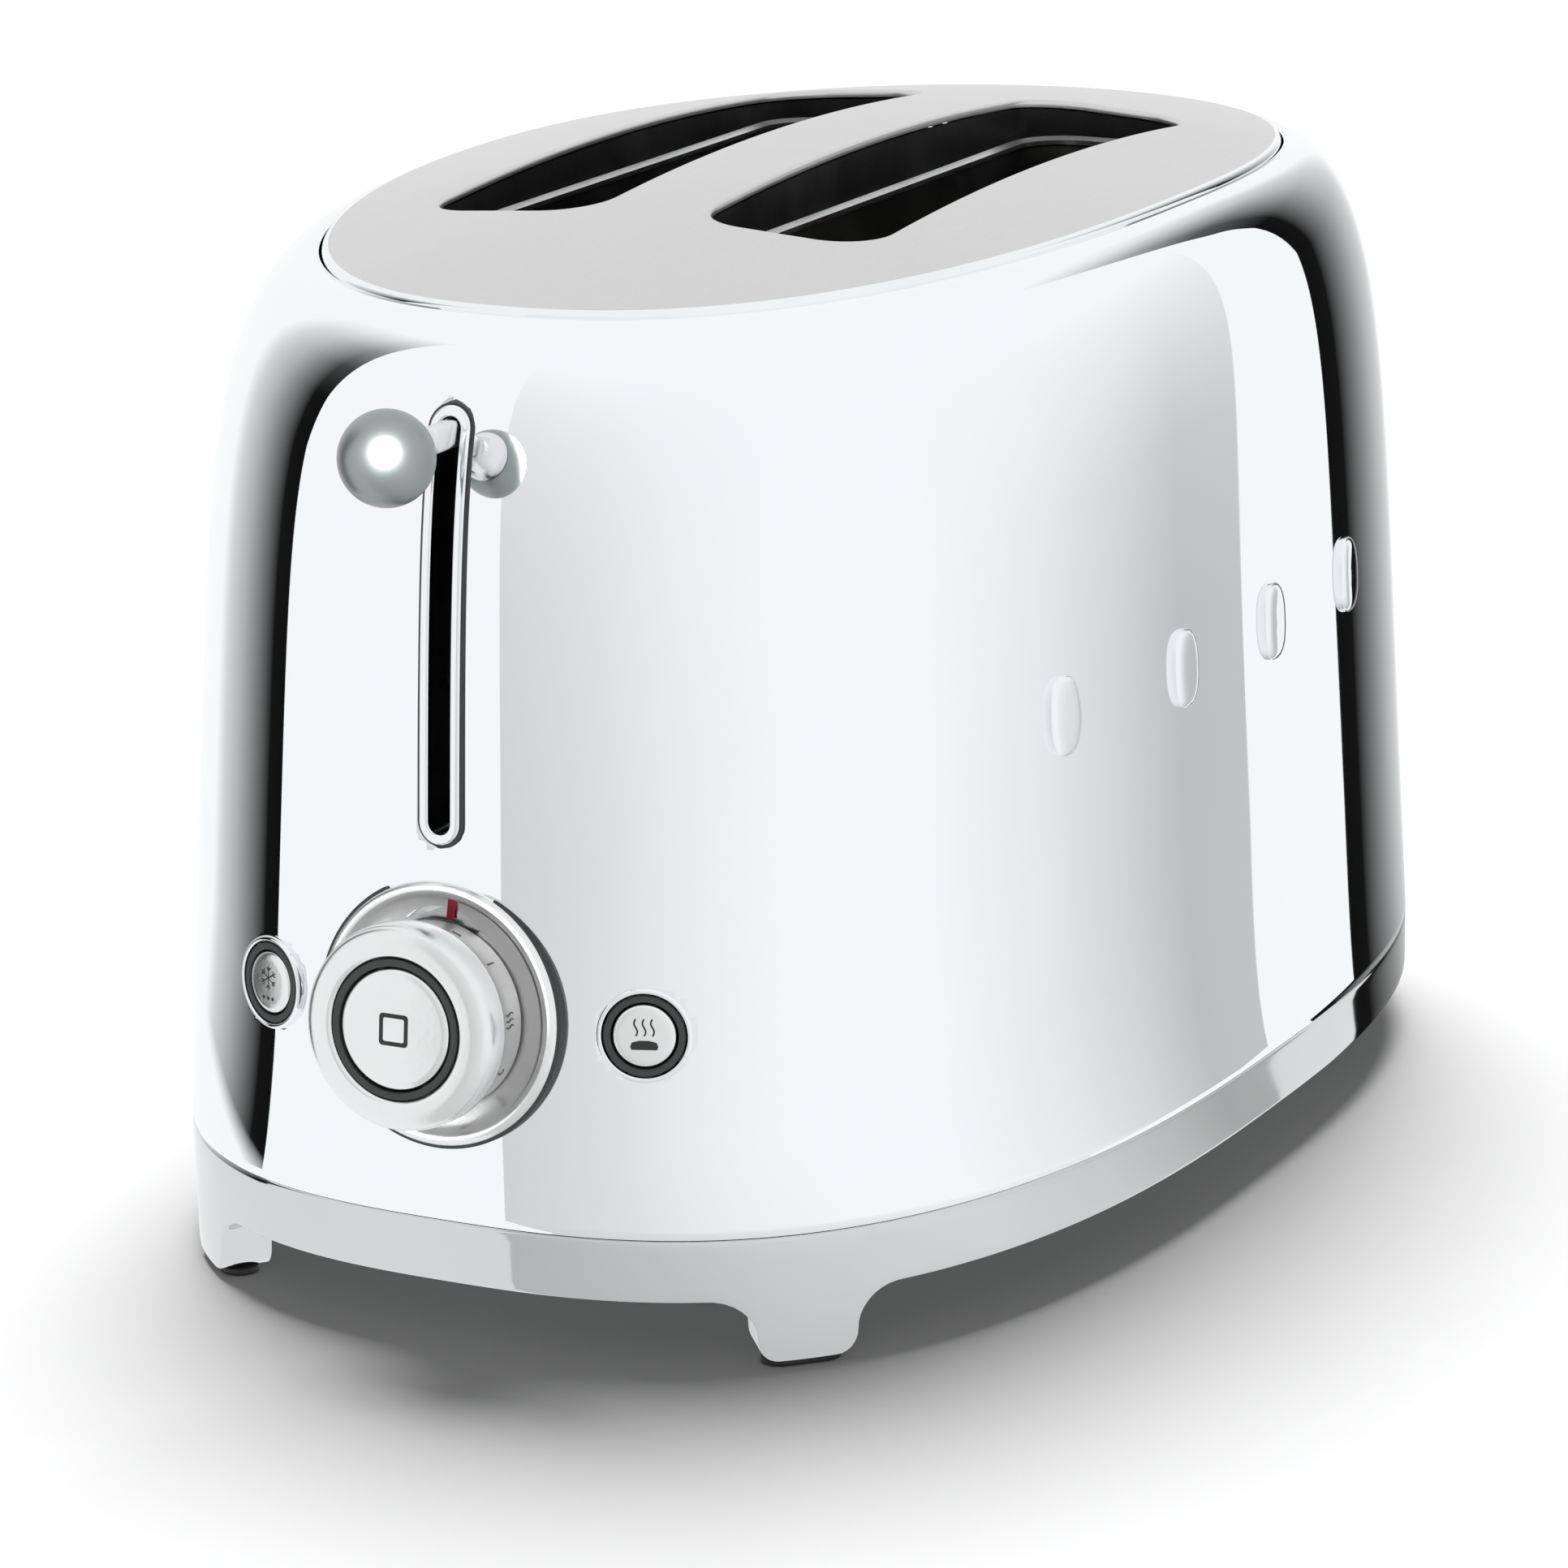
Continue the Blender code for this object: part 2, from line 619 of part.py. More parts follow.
def build_base_plate():
    outlines = [band_outline(BAND_WALL + FIT_GAP)]
    for sides in CORNERS.values():
        outlines.append(circle(SCREW_SHANK_RADIUS + FIT_GAP, screw_place(*sides).xy))
    outlines.append(circle(GLAND_RADIUS - 2.0 * MM + FIT_GAP, (GLAND_X, GLAND_Y), 24))
    for side in (-1, 1):
        for i in range(-2, 3):
            x = side * (WRAP_LENGTH / 2 + 34 * MM)
            outlines.append(rounded_rectangle(9 * MM, 1.6 * MM, 1.6 * MM, 3, (x, i * 11 * MM)))
    plate = flat("base_plate", outlines, PLATE_WALL, ZINC)
    plate.location = (0, 0, (PLATE_BOTTOM + PLATE_TOP) / 2)


def build_screws():
    head_top = PLATE_BOTTOM - FIT_GAP
    head = head_top - 1.7 * MM
    tip = PLATE_TOP + FIT_GAP + LUG_HEIGHT - SLIDE_GAP
    profile = [(0, tip), (SCREW_SHANK_RADIUS - 0.5 * MM, tip), (SCREW_SHANK_RADIUS, tip - 0.6 * MM),
               (SCREW_SHANK_RADIUS, head_top), (SCREW_HEAD_RADIUS, head_top),
               (SCREW_HEAD_RADIUS - 0.2 * MM, head + 0.4 * MM), (SCREW_HEAD_RADIUS - 1.0 * MM, head), (0, head)]
    for name, sides in CORNERS.items():
        turned("base_screw_" + name, profile, ZINC, False, 16).location = screw_place(*sides)


def build_crumb_tray():
    """A shallow tray whose front is a piece of the band and slides out of the rear end."""
    half = TRAY_WIDTH / 2
    block = box("tray_block", (-CHASSIS_X, -half, TRAY_BOTTOM), (BODY_LENGTH / 2, half, TRAY_TOP), ZINC)
    inside = box("tray_inside", (-CHASSIS_X + TRAY_WALL, -half + TRAY_WALL, TRAY_BOTTOM + TRAY_WALL),
                 (BODY_LENGTH / 2 - 25 * MM, half - TRAY_WALL, TRAY_TOP + TRAY_WALL), ZINC)
    boolean(block, as_cutter(inside), "DIFFERENCE")
    within = as_cutter(around_band("tray_limit", [
        (BAND_EDGE / 2, 0), (BAND_EDGE / 2, BAND_TOP), (BAND_WALL * 20, BAND_TOP), (BAND_WALL * 20, 0)], ZINC))
    rear_room = box("tray_rear", (CHASSIS_X / 2, -half, TRAY_BOTTOM - FIT_GAP),
                    (BODY_LENGTH, half, TRAY_TOP), ZINC)
    outside = boolean(as_cutter(rear_room), within, "DIFFERENCE")
    boolean(block, outside, "DIFFERENCE")
    block.name = "crumb_tray"
    middle_z = (TRAY_BOTTOM + TRAY_TOP) / 2
    pull = box("tray_pull", (BODY_LENGTH / 2 - 12 * MM, -TRAY_PULL_WIDTH / 2, middle_z - 1.2 * MM),
               (REAR_X, TRAY_PULL_WIDTH / 2, middle_z + 1.2 * MM), ZINC, 0.8 * MM)
    boolean(block, as_cutter(pull), "UNION")
    return block


def build_cord_gland():
    top = PLATE_TOP + 1.5 * MM
    neck = GLAND_RADIUS - 2.0 * MM
    profile = [(neck - 1.0 * MM, top), (neck, top - 1.0 * MM), (neck, PLATE_BOTTOM - FIT_GAP),
               (GLAND_RADIUS, PLATE_BOTTOM - FIT_GAP), (GLAND_RADIUS, PLATE_BOTTOM - 2.3 * MM),
               (CORD_RADIUS + 1.4 * MM, WRAP_GROUND + 1.0 * MM), (CORD_RADIUS, WRAP_GROUND + 1.0 * MM),
               (CORD_RADIUS, top)]
    turned("cord_gland", profile, DARK_PLASTIC, True, 24).location = (GLAND_X, GLAND_Y, 0)


def build_cord_wrap():
    """A low spool under the floor plate that the cord winds round for storage."""
    lip_top = WRAP_GROUND + WRAP_LIP_WALL
    wrap_top = PLATE_BOTTOM - FIT_GAP
    lip_half_x, lip_half_y = WRAP_LENGTH / 2 + WRAP_LIP, WRAP_WIDTH / 2 + WRAP_LIP
    hub = meshed(flat("cord_wrap", [rounded_rectangle(WRAP_LENGTH / 2, WRAP_WIDTH / 2, WRAP_WIDTH / 2)],
                      wrap_top - WRAP_GROUND, DARK_PLASTIC))
    hub.location = (0, 0, (wrap_top + WRAP_GROUND) / 2)
    lip = meshed(flat("wrap_lip", [rounded_rectangle(lip_half_x, lip_half_y, lip_half_y)],
                      WRAP_LIP_WALL, DARK_PLASTIC))
    lip.location = (0, 0, (lip_top + WRAP_GROUND) / 2)
    boolean(hub, as_cutter(lip), "UNION")


# ---------------------------------------------------------------- body and top

def build_shell(spots):
    rings = shell_rings()
    shell = add("body_shell", mesh_from("body_shell", lambda bm: loft(bm, rings, "open")), CHROME)
    smooth(shell.data)
    wall = shell.modifiers.new("wall", "SOLIDIFY")
    wall.thickness = SHELL_WALL
    wall.offset = -1
    wall.use_even_offset = True
    slot = stadium_across("lever_slot", LEVER_SLOT_WIDTH + 2 * FIT_GAP, BEZEL_BOTTOM + LEVER_BEZEL_RIM - FIT_GAP,
                          BEZEL_TOP - LEVER_BEZEL_RIM + FIT_GAP)
    boolean(shell, as_cutter(slot), "DIFFERENCE")
    for name, (origin, axis), radius in spots:
        hole = cylinder("hole_" + name, radius, -20 * MM, 20 * MM, CHROME)
        boolean(shell, as_cutter(place(hole, origin, axis)), "DIFFERENCE")
    return shell


def stadium_across(name, width, bottom, top):
    """A block with round ends, standing up, that runs through the lever end's wall."""
    middle = (bottom + top) / 2
    outline = rounded_rectangle(width / 2, (top - bottom) / 2, width / 2, 5, (0, middle))
    block = meshed(flat(name, [outline], 60 * MM, CHROME))
    return place(block, (-end_x(middle), 0, 0), (1, 0, 0))


def build_lever_bezel(seat):
    ring = stadium_across("lever_bezel", LEVER_SLOT_WIDTH + 2 * LEVER_BEZEL_RIM, BEZEL_BOTTOM, BEZEL_TOP)
    ring.data.materials.append(CHROME)
    opening = stadium_across("bezel_opening", LEVER_SLOT_WIDTH, BEZEL_BOTTOM + LEVER_BEZEL_RIM,
                             BEZEL_TOP - LEVER_BEZEL_RIM)
    boolean(ring, grown_shell("bezel_front", FIT_GAP + LEVER_BEZEL_PROUD), "INTERSECT")
    boolean(ring, seat, "DIFFERENCE")
    boolean(ring, as_cutter(opening), "DIFFERENCE")
    return ring


def build_top_plate():
    """The crowned steel plate: rings from the middle out, as a skin with a wall, cut by the slots."""
    rim = top_outline(0)

    def build(bm):
        hub = bm.verts.new((0, 0, crown(0, 0)))
        rows = []
        for k in range(1, PLATE_RINGS + 1):
            share = k / PLATE_RINGS
            rows.append([bm.verts.new((x * share, y * share, crown(x * share, y * share))) for x, y in rim])
        count = len(rim)
        for i in range(count):
            bm.faces.new((rows[0][i], rows[0][(i + 1) % count], hub))
        for inner, outer in zip(rows, rows[1:]):
            for i in range(count):
                j = (i + 1) % count
                bm.faces.new((outer[i], outer[j], inner[j], inner[i]))

    plate = add("top_plate", mesh_from("top_plate", build), SATIN)
    smooth(plate.data)
    wall = plate.modifiers.new("wall", "SOLIDIFY")
    wall.thickness = TOP_WALL
    wall.offset = -1
    for side, label in ((-1, "front"), (1, "rear")):
        cut = meshed(flat("slot_cut_" + label, [slot_outline(side)], BODY_HEIGHT, SATIN))
        cut.location = (0, 0, BODY_HEIGHT)
        boolean(plate, as_cutter(cut), "DIFFERENCE")
    return plate


def slot_outline(side, grow=0.0):
    return rounded_rectangle(SLOT_LENGTH / 2 + grow, SLOT_WIDTH / 2 + grow, SLOT_CORNER + grow, 6,
                             (0, side * SLOT_Y))


def build_liners():
    """Black collars under the slots that lead the bread in; their tops follow the crown."""
    bottom = BODY_HEIGHT - LINER_DEPTH
    for side, label in ((-1, "front"), (1, "rear")):
        rings = []
        for grow, low in ((0.0, True), (0.0, False), (LINER_WALL, False), (LINER_WALL, True)):
            rings.append([Vector((x, y, bottom if low else crown(x, y) - TOP_WALL - FIT_GAP))
                          for x, y in slot_outline(side, grow)])
        name = "slot_liner_" + label
        add(name, mesh_from(name, lambda bm, r=rings: loft(bm, r, "loop")), BLACK_STEEL)


def build_studs(seat):
    outline = superellipse(STUD_WIDTH / 2, STUD_HEIGHT / 2, 2.6, 20)
    for i in range(STUD_COUNT):
        x = STUD_FIRST_X + STUD_PITCH * i
        origin, outward = skin_where(0, x, math.pi, 2 * math.pi, STUD_Z)
        deep = 3.0 * MM
        stud = meshed(flat("badge_stud_%d" % (i + 1), [outline], STUD_PROUD + deep, CHROME))
        place(stud, origin + outward * (STUD_PROUD - deep) / 2, outward)
        rounding = stud.modifiers.new("rounded_edges", "BEVEL")
        rounding.width = 0.7 * MM
        rounding.segments = 2
        rounding.limit_method = "ANGLE"
        boolean(stud, seat, "DIFFERENCE")


# ---------------------------------------------------------------- oven

def build_chassis():
    """Two upright plates that carry the heater cards; the middle is open above the crumb tray."""
    foot_in = TRAY_WIDTH / 2 + 2 * SLIDE_GAP
    foot = PLATE_TOP + FIT_GAP
    span = TRAY_TOP + 2 * SLIDE_GAP
    wide = CHASSIS_HALF_WIDTH
    outline = [(-wide, foot), (-foot_in, foot), (-foot_in, span), (foot_in, span), (foot_in, foot),
               (wide, foot), (wide, CHASSIS_TOP - 14 * MM), (wide - 14 * MM, CHASSIS_TOP),
               (-wide + 14 * MM, CHASSIS_TOP), (-wide, CHASSIS_TOP - 14 * MM)]
    holes = []
    for side in (-1, 1):
        y = side * SLOT_Y
        holes.append(rectangle(y - ARM_SLOT / 2, RACK_LOW_Z - 3 * MM, y + ARM_SLOT / 2, RACK_Z + 3 * MM))
    for name, x in (("chassis_front", -CHASSIS_X), ("chassis_rear", CHASSIS_X)):
        upright_x(flat(name, [outline] + holes, SHEET, ZINC), x)


def build_cards():
    top = CHASSIS_TOP - 4 * MM
    outline = rectangle(-CARD_HALF_LENGTH, CARD_BOTTOM, CARD_HALF_LENGTH, top)
    for name, y in (("heater_card_front", -CARD_OUT_Y), ("heater_card_middle", 0),
                    ("heater_card_rear", CARD_OUT_Y)):
        upright_y(flat(name, [outline], CARD_WALL, MICA), y)
    for name, y in (("heat_shield_front", -SHIELD_Y), ("heat_shield_rear", SHIELD_Y)):
        upright_y(flat(name, [outline], CARD_WALL, ZINC), y)


def build_bread_guides():
    """Flat wire grids on both sides of each slice, which close in as the lever goes down."""
    half = CARD_HALF_LENGTH - 3 * MM
    low = RACK_LOW_Z + 4 * MM
    high = BODY_HEIGHT - LINER_DEPTH - 4 * MM
    pitch = (2 * half - GUIDE_WIRE) / GUIDE_BARS
    outlines = [rectangle(-half, low, half, high)]
    middle = (low + high) / 2
    for i in range(GUIDE_BARS):
        left = -half + GUIDE_WIRE + i * pitch
        right = left + pitch - GUIDE_WIRE
        outlines.append(rectangle(left, low + GUIDE_WIRE, right, middle - GUIDE_WIRE / 2))
        outlines.append(rectangle(left, middle + GUIDE_WIRE / 2, right, high - GUIDE_WIRE))
    for label, side in (("front", -1), ("rear", 1)):
        for where, away in (("outer", side), ("inner", -side)):
            name = "bread_guide_%s_%s" % (label, where)
            upright_y(flat(name, outlines, GUIDE_WIRE, ZINC), side * SLOT_Y + away * GUIDE_OUT)


def build_racks():
    """The bread rests on a flat ladder, carried by an arm through each chassis plate."""
    half = SLOT_LENGTH / 2 - 2 * MM
    reach = CHASSIS_X + ROD_FROM_CHASSIS + CARRIAGE_DEPTH / 2 - 1.0 * MM
    tail = CHASSIS_X + 6 * MM
    wide, arm = RACK_WIDTH / 2, RACK_ARM / 2
    outline = [(-reach, -arm), (-half, -arm), (-half, -wide), (half, -wide), (half, -arm), (tail, -arm),
               (tail, arm), (half, arm), (half, wide), (-half, wide), (-half, arm), (-reach, arm)]
    holes = []
    count = 7
    pitch = (2 * half - 3 * MM) / count
    for i in range(count):
        left = -half + 3 * MM + i * pitch
        for low, high in ((-wide + 1.5 * MM, -1.2 * MM), (1.2 * MM, wide - 1.5 * MM)):
            holes.append(rectangle(left, low, left + pitch - 3 * MM, high))
    for label, side in (("front", -1), ("rear", 1)):
        rack = flat("bread_rack_" + label, [outline] + holes, RACK_WALL, ZINC)
        rack.location = (0, side * SLOT_Y, RACK_Z)


# ---------------------------------------------------------------- lift and lever

def rod_holes(piece, tag):
    for side in (-1, 1):
        hole = cylinder("rod_hole_%s_%d" % (tag, side), ROD_RADIUS + SLIDE_GAP, 0, BODY_HEIGHT, ZINC, 16)
        hole.location = (ROD_X, side * ROD_SPREAD, 0)
        boolean(piece, as_cutter(hole), "DIFFERENCE")


def build_carriage():
    back = MAST_X + CARRIAGE_DEPTH
    arm_y = SLOT_Y + RACK_ARM
    carriage = box("lift_carriage", (MAST_X, -arm_y, BAR_TOP - CARRIAGE_BAR), (back, arm_y, BAR_TOP), ZINC)
    upper = box("carriage_upper", (MAST_X, -ROD_SPREAD - 2 * ROD_RADIUS, UPPER_BAR_TOP - CARRIAGE_BAR),
                (back, ROD_SPREAD + 2 * ROD_RADIUS, UPPER_BAR_TOP), ZINC)
    mast = box("carriage_mast", (MAST_X + FIT_GAP, -MAST_WIDTH / 2, BAR_TOP - CARRIAGE_BAR / 2),
               (MAST_X + MAST_WALL, MAST_WIDTH / 2, LEVER_Z + ARM_HEIGHT / 2), ZINC)
    boolean(carriage, as_cutter(mast), "UNION")
    boolean(carriage, as_cutter(upper), "UNION")
    rod_holes(carriage, "carriage")


def build_rods_and_bridge():
    for label, side in (("front", -1), ("rear", 1)):
        rod = cylinder("guide_rod_" + label, ROD_RADIUS, PLATE_TOP + FIT_GAP, BRIDGE_Z + BRIDGE_WALL, ZINC, 16)
        rod.location = (ROD_X, side * ROD_SPREAD, 0)
    bridge = box("rod_bridge", (MAST_X - 2 * MM, -ROD_SPREAD - 6 * MM, BRIDGE_Z),
                 (-CHASSIS_X - SHEET / 2 - FIT_GAP, ROD_SPREAD + 6 * MM, BRIDGE_Z + BRIDGE_WALL), ZINC)
    rod_holes(bridge, "bridge")


def build_lift_spring():
    """Wound round the rear guide rod, it pushes the carriage up when the latch lets go."""
    low, high = PLATE_TOP + FIT_GAP + SPRING_WIRE, BAR_TOP - CARRIAGE_BAR - FIT_GAP - SPRING_WIRE
    per_turn = 9
    count = SPRING_TURNS * per_turn
    curve = bpy.data.curves.new("lift_spring", "CURVE")
    curve.dimensions = "3D"
    curve.bevel_depth = SPRING_WIRE
    curve.bevel_resolution = 0
    curve.use_fill_caps = True
    spline = curve.splines.new("POLY")
    spline.points.add(count)
    for i, point in enumerate(spline.points):
        a = 2 * math.pi * i / per_turn
        point.co = (SPRING_RADIUS * math.cos(a), SPRING_RADIUS * math.sin(a), low + (high - low) * i / count, 1)
    add("lift_spring", curve, ZINC).location = (ROD_X, ROD_SPREAD, 0)


def build_lever():
    """The arm through the slot, a collar that stays clear of the leaning wall, and the ball."""
    collar_start = end_x(LEVER_LOW_Z - COLLAR_RADIUS) + FIT_GAP + LEVER_BEZEL_PROUD + SLIDE_GAP
    box("lever_arm", (-(collar_start - FIT_GAP), -ARM_WIDTH / 2, LEVER_Z - ARM_HEIGHT / 2),
        (MAST_X, ARM_WIDTH / 2, LEVER_Z + ARM_HEIGHT / 2), ZINC, ARM_EDGE)
    ball_back = math.sqrt(BALL_RADIUS ** 2 - COLLAR_RADIUS ** 2)
    length = -BALL_X - ball_back - FIT_GAP - collar_start
    profile = [(0, length), (COLLAR_RADIUS, length)]
    for i in range(1, COLLAR_STEPS + 1):
        a = math.pi / 2 * i / COLLAR_STEPS
        profile.append((COLLAR_RADIUS - (COLLAR_RADIUS - COLLAR_NECK) * math.sin(a), length * math.cos(a)))
    profile.append((0, 0))
    place(turned("lever_collar", profile, CHROME, False, TURN_STEPS), (-collar_start, 0, LEVER_Z), (-1, 0, 0))
    profile = [(0, BALL_RADIUS)]
    back = math.pi - math.asin(COLLAR_RADIUS / BALL_RADIUS)
    for i in range(1, BALL_STEPS + 1):
        a = back * i / BALL_STEPS
        profile.append((BALL_RADIUS * math.sin(a), BALL_RADIUS * math.cos(a)))
    profile.append((0, BALL_RADIUS * math.cos(back)))
    place(turned("lever_ball", profile, CHROME, False), (BALL_X, 0, LEVER_Z), (-1, 0, 0))


def build_latch():
    """A steel plate on the carriage that the electromagnet on the floor holds down."""
    box("latch_plate", (MAST_X - LATCH_REACH, -6 * MM, LATCH_Z), (MAST_X, 6 * MM, LATCH_Z + LATCH_WALL), ZINC)
    top = LATCH_Z - LEVER_TRAVEL - FIT_GAP
    foot = PLATE_TOP + FIT_GAP
    x = MAST_X - 1.5 * MM - MAGNET_RADIUS
    profile = [(0, top), (2.0 * MM, top), (2.0 * MM, top - 1.5 * MM), (MAGNET_RADIUS, top - 1.5 * MM),
               (MAGNET_RADIUS, top - MAGNET_HEIGHT), (2.6 * MM, top - MAGNET_HEIGHT), (2.6 * MM, foot + 1.5 * MM),
               (MAGNET_RADIUS, foot + 1.5 * MM), (MAGNET_RADIUS, foot), (0, foot)]
    turned("electromagnet", profile, COPPER, False, 20).location = (x, 0, 0)


# ---------------------------------------------------------------- dial and buttons

def dial_place():
    """The dial's centre on the skin and its axis, which leans up a little more than the wall does."""
    origin, outward = skin_at(math.pi, DIAL_Z)
    lean = Matrix.Rotation(DIAL_EXTRA_TILT, 3, "Y")
    return origin, (lean @ outward).normalized()


def button_places():
    """Point and direction of the two push buttons, each standing square to the skin."""
    defrost = skin_at_spread(BUTTON_SPREAD)
    mirror = Vector((1, -1, 1))
    reheat = (defrost[0] * mirror, defrost[1] * mirror)
    return {"defrost": defrost, "reheat": reheat}


def skin_at_spread(spread):
    low, high = math.pi / 2, math.pi
    for _ in range(50):
        middle = (low + high) / 2
        if skin_at(middle, BUTTON_Z)[0].y > spread:
            low = middle
        else:
            high = middle
    return skin_at(low, BUTTON_Z)


def seated(piece, name, origin, axis, seat_grow, spigot):
    """Trims the back of a piece to the skin, but leaves what goes through its hole."""
    seat = grown_shell("seat_" + name, seat_grow)
    if spigot:
        core = cylinder("core_" + name, spigot, -30 * MM, 30 * MM, CHROME)
        boolean(seat, as_cutter(place(core, origin, axis)), "DIFFERENCE")
    return boolean(piece, seat, "DIFFERENCE")


def build_dial():
    origin, axis = dial_place()
    rim = DISH_RADIUS
    bore = HUB_RADIUS + SLIDE_GAP
    back = -4.5 * MM
    dish = turned("dial_dish", [
        (rim - 1.2 * MM, DISH_PROUD), (rim - 0.4 * MM, DISH_PROUD - 0.3 * MM), (rim, DISH_PROUD - 1.0 * MM),
        (rim, -3.5 * MM), (DISH_SPIGOT, -3.5 * MM), (DISH_SPIGOT, back), (bore, back), (bore, DISH_FLOOR),
        (rim - 5.0 * MM, DISH_FLOOR), (rim - 2.8 * MM, DISH_FLOOR + 0.5 * MM), (rim - 2.0 * MM, DISH_PROUD)],
        CHROME, True, 36)
    place(dish, origin, axis)
    seated(dish, "dial", origin, axis, FIT_GAP, DISH_SPIGOT + FIT_GAP / 2)

    face = KNOB_FRONT
    seam = DISH_FLOOR + 2 * FIT_GAP + BARREL_LENGTH
    foot = DISH_FLOOR + FIT_GAP + 0.1 * MM
    stem_bore = STEM_RADIUS + SLIDE_GAP
    floor = face - POCKET_DEPTH
    knob = turned("dial_knob", [
        (POCKET_RADIUS + 0.6 * MM, face), (KNOB_RADIUS - 2.4 * MM, face), (KNOB_RADIUS - 0.8 * MM, face - 0.7 * MM),
        (KNOB_RADIUS, face - 2.2 * MM), (KNOB_RADIUS, seam + 0.9 * MM), (KNOB_RADIUS - 0.6 * MM, seam + 0.2 * MM),
        (BARREL_RADIUS, seam), (BARREL_RADIUS, foot), (HUB_RADIUS, foot), (HUB_RADIUS, -HUB_DEPTH),
        (stem_bore, -HUB_DEPTH), (stem_bore, floor), (POCKET_RADIUS, floor), (POCKET_RADIUS, face - 0.6 * MM)],
        CHROME, True, 36)
    place(knob, origin, axis)

    ring_out = POCKET_RADIUS - FIT_GAP / 2
    ring_in = ring_out - STOP_RING_WALL
    ring_low = floor + FIT_GAP
    ring = turned("stop_ring", [(ring_out, face - 0.3 * MM), (ring_out, ring_low), (ring_in, ring_low),
                                (ring_in, face - 0.3 * MM)], DARK_PLASTIC, True)
    place(ring, origin, axis)

    disc = ring_in - FIT_GAP
    under = floor + PRESS_TRAVEL + FIT_GAP
    stem_end = -HUB_DEPTH - 3.0 * MM
    button = turned("stop_button", [
        (0, face), (disc - 0.7 * MM, face), (disc, face - 0.6 * MM), (disc, under), (STEM_RADIUS, under),
        (STEM_RADIUS, stem_end), (0, stem_end)], CHROME, False)
    place(button, origin, axis)

    pot_bore = HUB_RADIUS + SLIDE_GAP
    pot_top = back - FIT_GAP
    pot_foot = -BOARD_BACK + FIT_GAP
    pot = turned("potentiometer", [(12 * MM, pot_top), (12 * MM, pot_foot), (pot_bore, pot_foot),
                                   (pot_bore, pot_top)], DARK_PLASTIC, True, 24)
    place(pot, origin, axis)
    switch_top = stem_end - PRESS_TRAVEL - FIT_GAP
    build_switch("stop_switch", origin, axis, switch_top, pot_foot)
    board = flat("control_board", [rectangle(-BOARD_WIDTH / 2, -BOARD_BELOW, BOARD_WIDTH / 2, BOARD_ABOVE)],
                 BOARD_WALL, BOARD_GREEN)
    place(board, origin - axis * (BOARD_BACK + BOARD_WALL / 2), axis)


def build_switch(name, origin, axis, top, foot):
    """A small square key switch that a button's stem presses."""
    half = SWITCH_SIZE / 2
    switch = box(name, (-half, -half, foot), (half, half, top), DARK_PLASTIC)
    middle = (top + foot) / 2
    place(switch, origin + axis * middle, axis)


def build_buttons():
    for name, (origin, axis) in button_places().items():
        face = BUTTON_PROUD
        seal_in = BUTTON_RADIUS + FIT_GAP
        seal_out = seal_in + SEAL_WALL
        seal_low = -4.5 * MM
        bezel_in = seal_out + FIT_GAP
        bezel_out = bezel_in + BEZEL_WALL
        bezel = turned(name + "_bezel", [
            (bezel_in + 0.2 * MM, face - 0.2 * MM), (bezel_out - 0.4 * MM, face - 0.2 * MM),
            (bezel_out, face - 0.6 * MM), (bezel_out, -3 * MM), (bezel_in, -3 * MM), (bezel_in, face - 0.4 * MM)],
            CHROME, True)
        place(bezel, origin, axis)
        seated(bezel, name, origin, axis, FIT_GAP, 0)
        seal = turned(name + "_seal", [(seal_out, face - 0.4 * MM), (seal_out, seal_low), (seal_in, seal_low),
                                       (seal_in, face - 0.4 * MM)], DARK_PLASTIC, True)
        place(seal, origin, axis)
        button = turned(name + "_button", [
            (0, face), (BUTTON_RADIUS - 0.6 * MM, face), (BUTTON_RADIUS, face - 0.5 * MM),
            (BUTTON_RADIUS, -2 * MM), (BUTTON_STEM_RADIUS, -2 * MM),
            (BUTTON_STEM_RADIUS, -BUTTON_STEM_DEPTH), (0, -BUTTON_STEM_DEPTH)], CHROME, False, 24)
        place(button, origin, axis)
        switch_top = -BUTTON_STEM_DEPTH - PRESS_TRAVEL - FIT_GAP
        build_switch(name + "_switch", origin, axis, switch_top, switch_top - SWITCH_DEPTH)


def shell_spots():
    """Every round hole in the shell: name, where it is, and its radius."""
    seal_out = BUTTON_RADIUS + FIT_GAP + SEAL_WALL
    spots = [("dial", dial_place(), DISH_SPIGOT + FIT_GAP)]
    for name, where in button_places().items():
        spots.append((name, where, seal_out + FIT_GAP / 2))
    return spots


def main():
    seat = grown_shell("skin_seat", FIT_GAP)
    build_base_ring()
    build_pads()
    build_base_plate()
    build_screws()
    build_crumb_tray()
    build_cord_gland()
    build_cord_wrap()
    build_shell(shell_spots())
    build_lever_bezel(seat)
    build_top_plate()
    build_liners()
    build_studs(seat)
    build_chassis()
    build_cards()
    build_bread_guides()
    build_racks()
    build_carriage()
    build_rods_and_bridge()
    build_lift_spring()
    build_lever()
    build_latch()
    build_dial()
    build_buttons()


main()
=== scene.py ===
# %% [markdown]
# A pop up toaster in a white studio.
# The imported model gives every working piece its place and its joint.
# This lesson dresses that frame: each piece that shows is built again with finer
# curves, and every finish is made from shader nodes, step by step.

# %% Load the frame
import json
import math

import bmesh
import bpy
from mathutils import Matrix, Vector

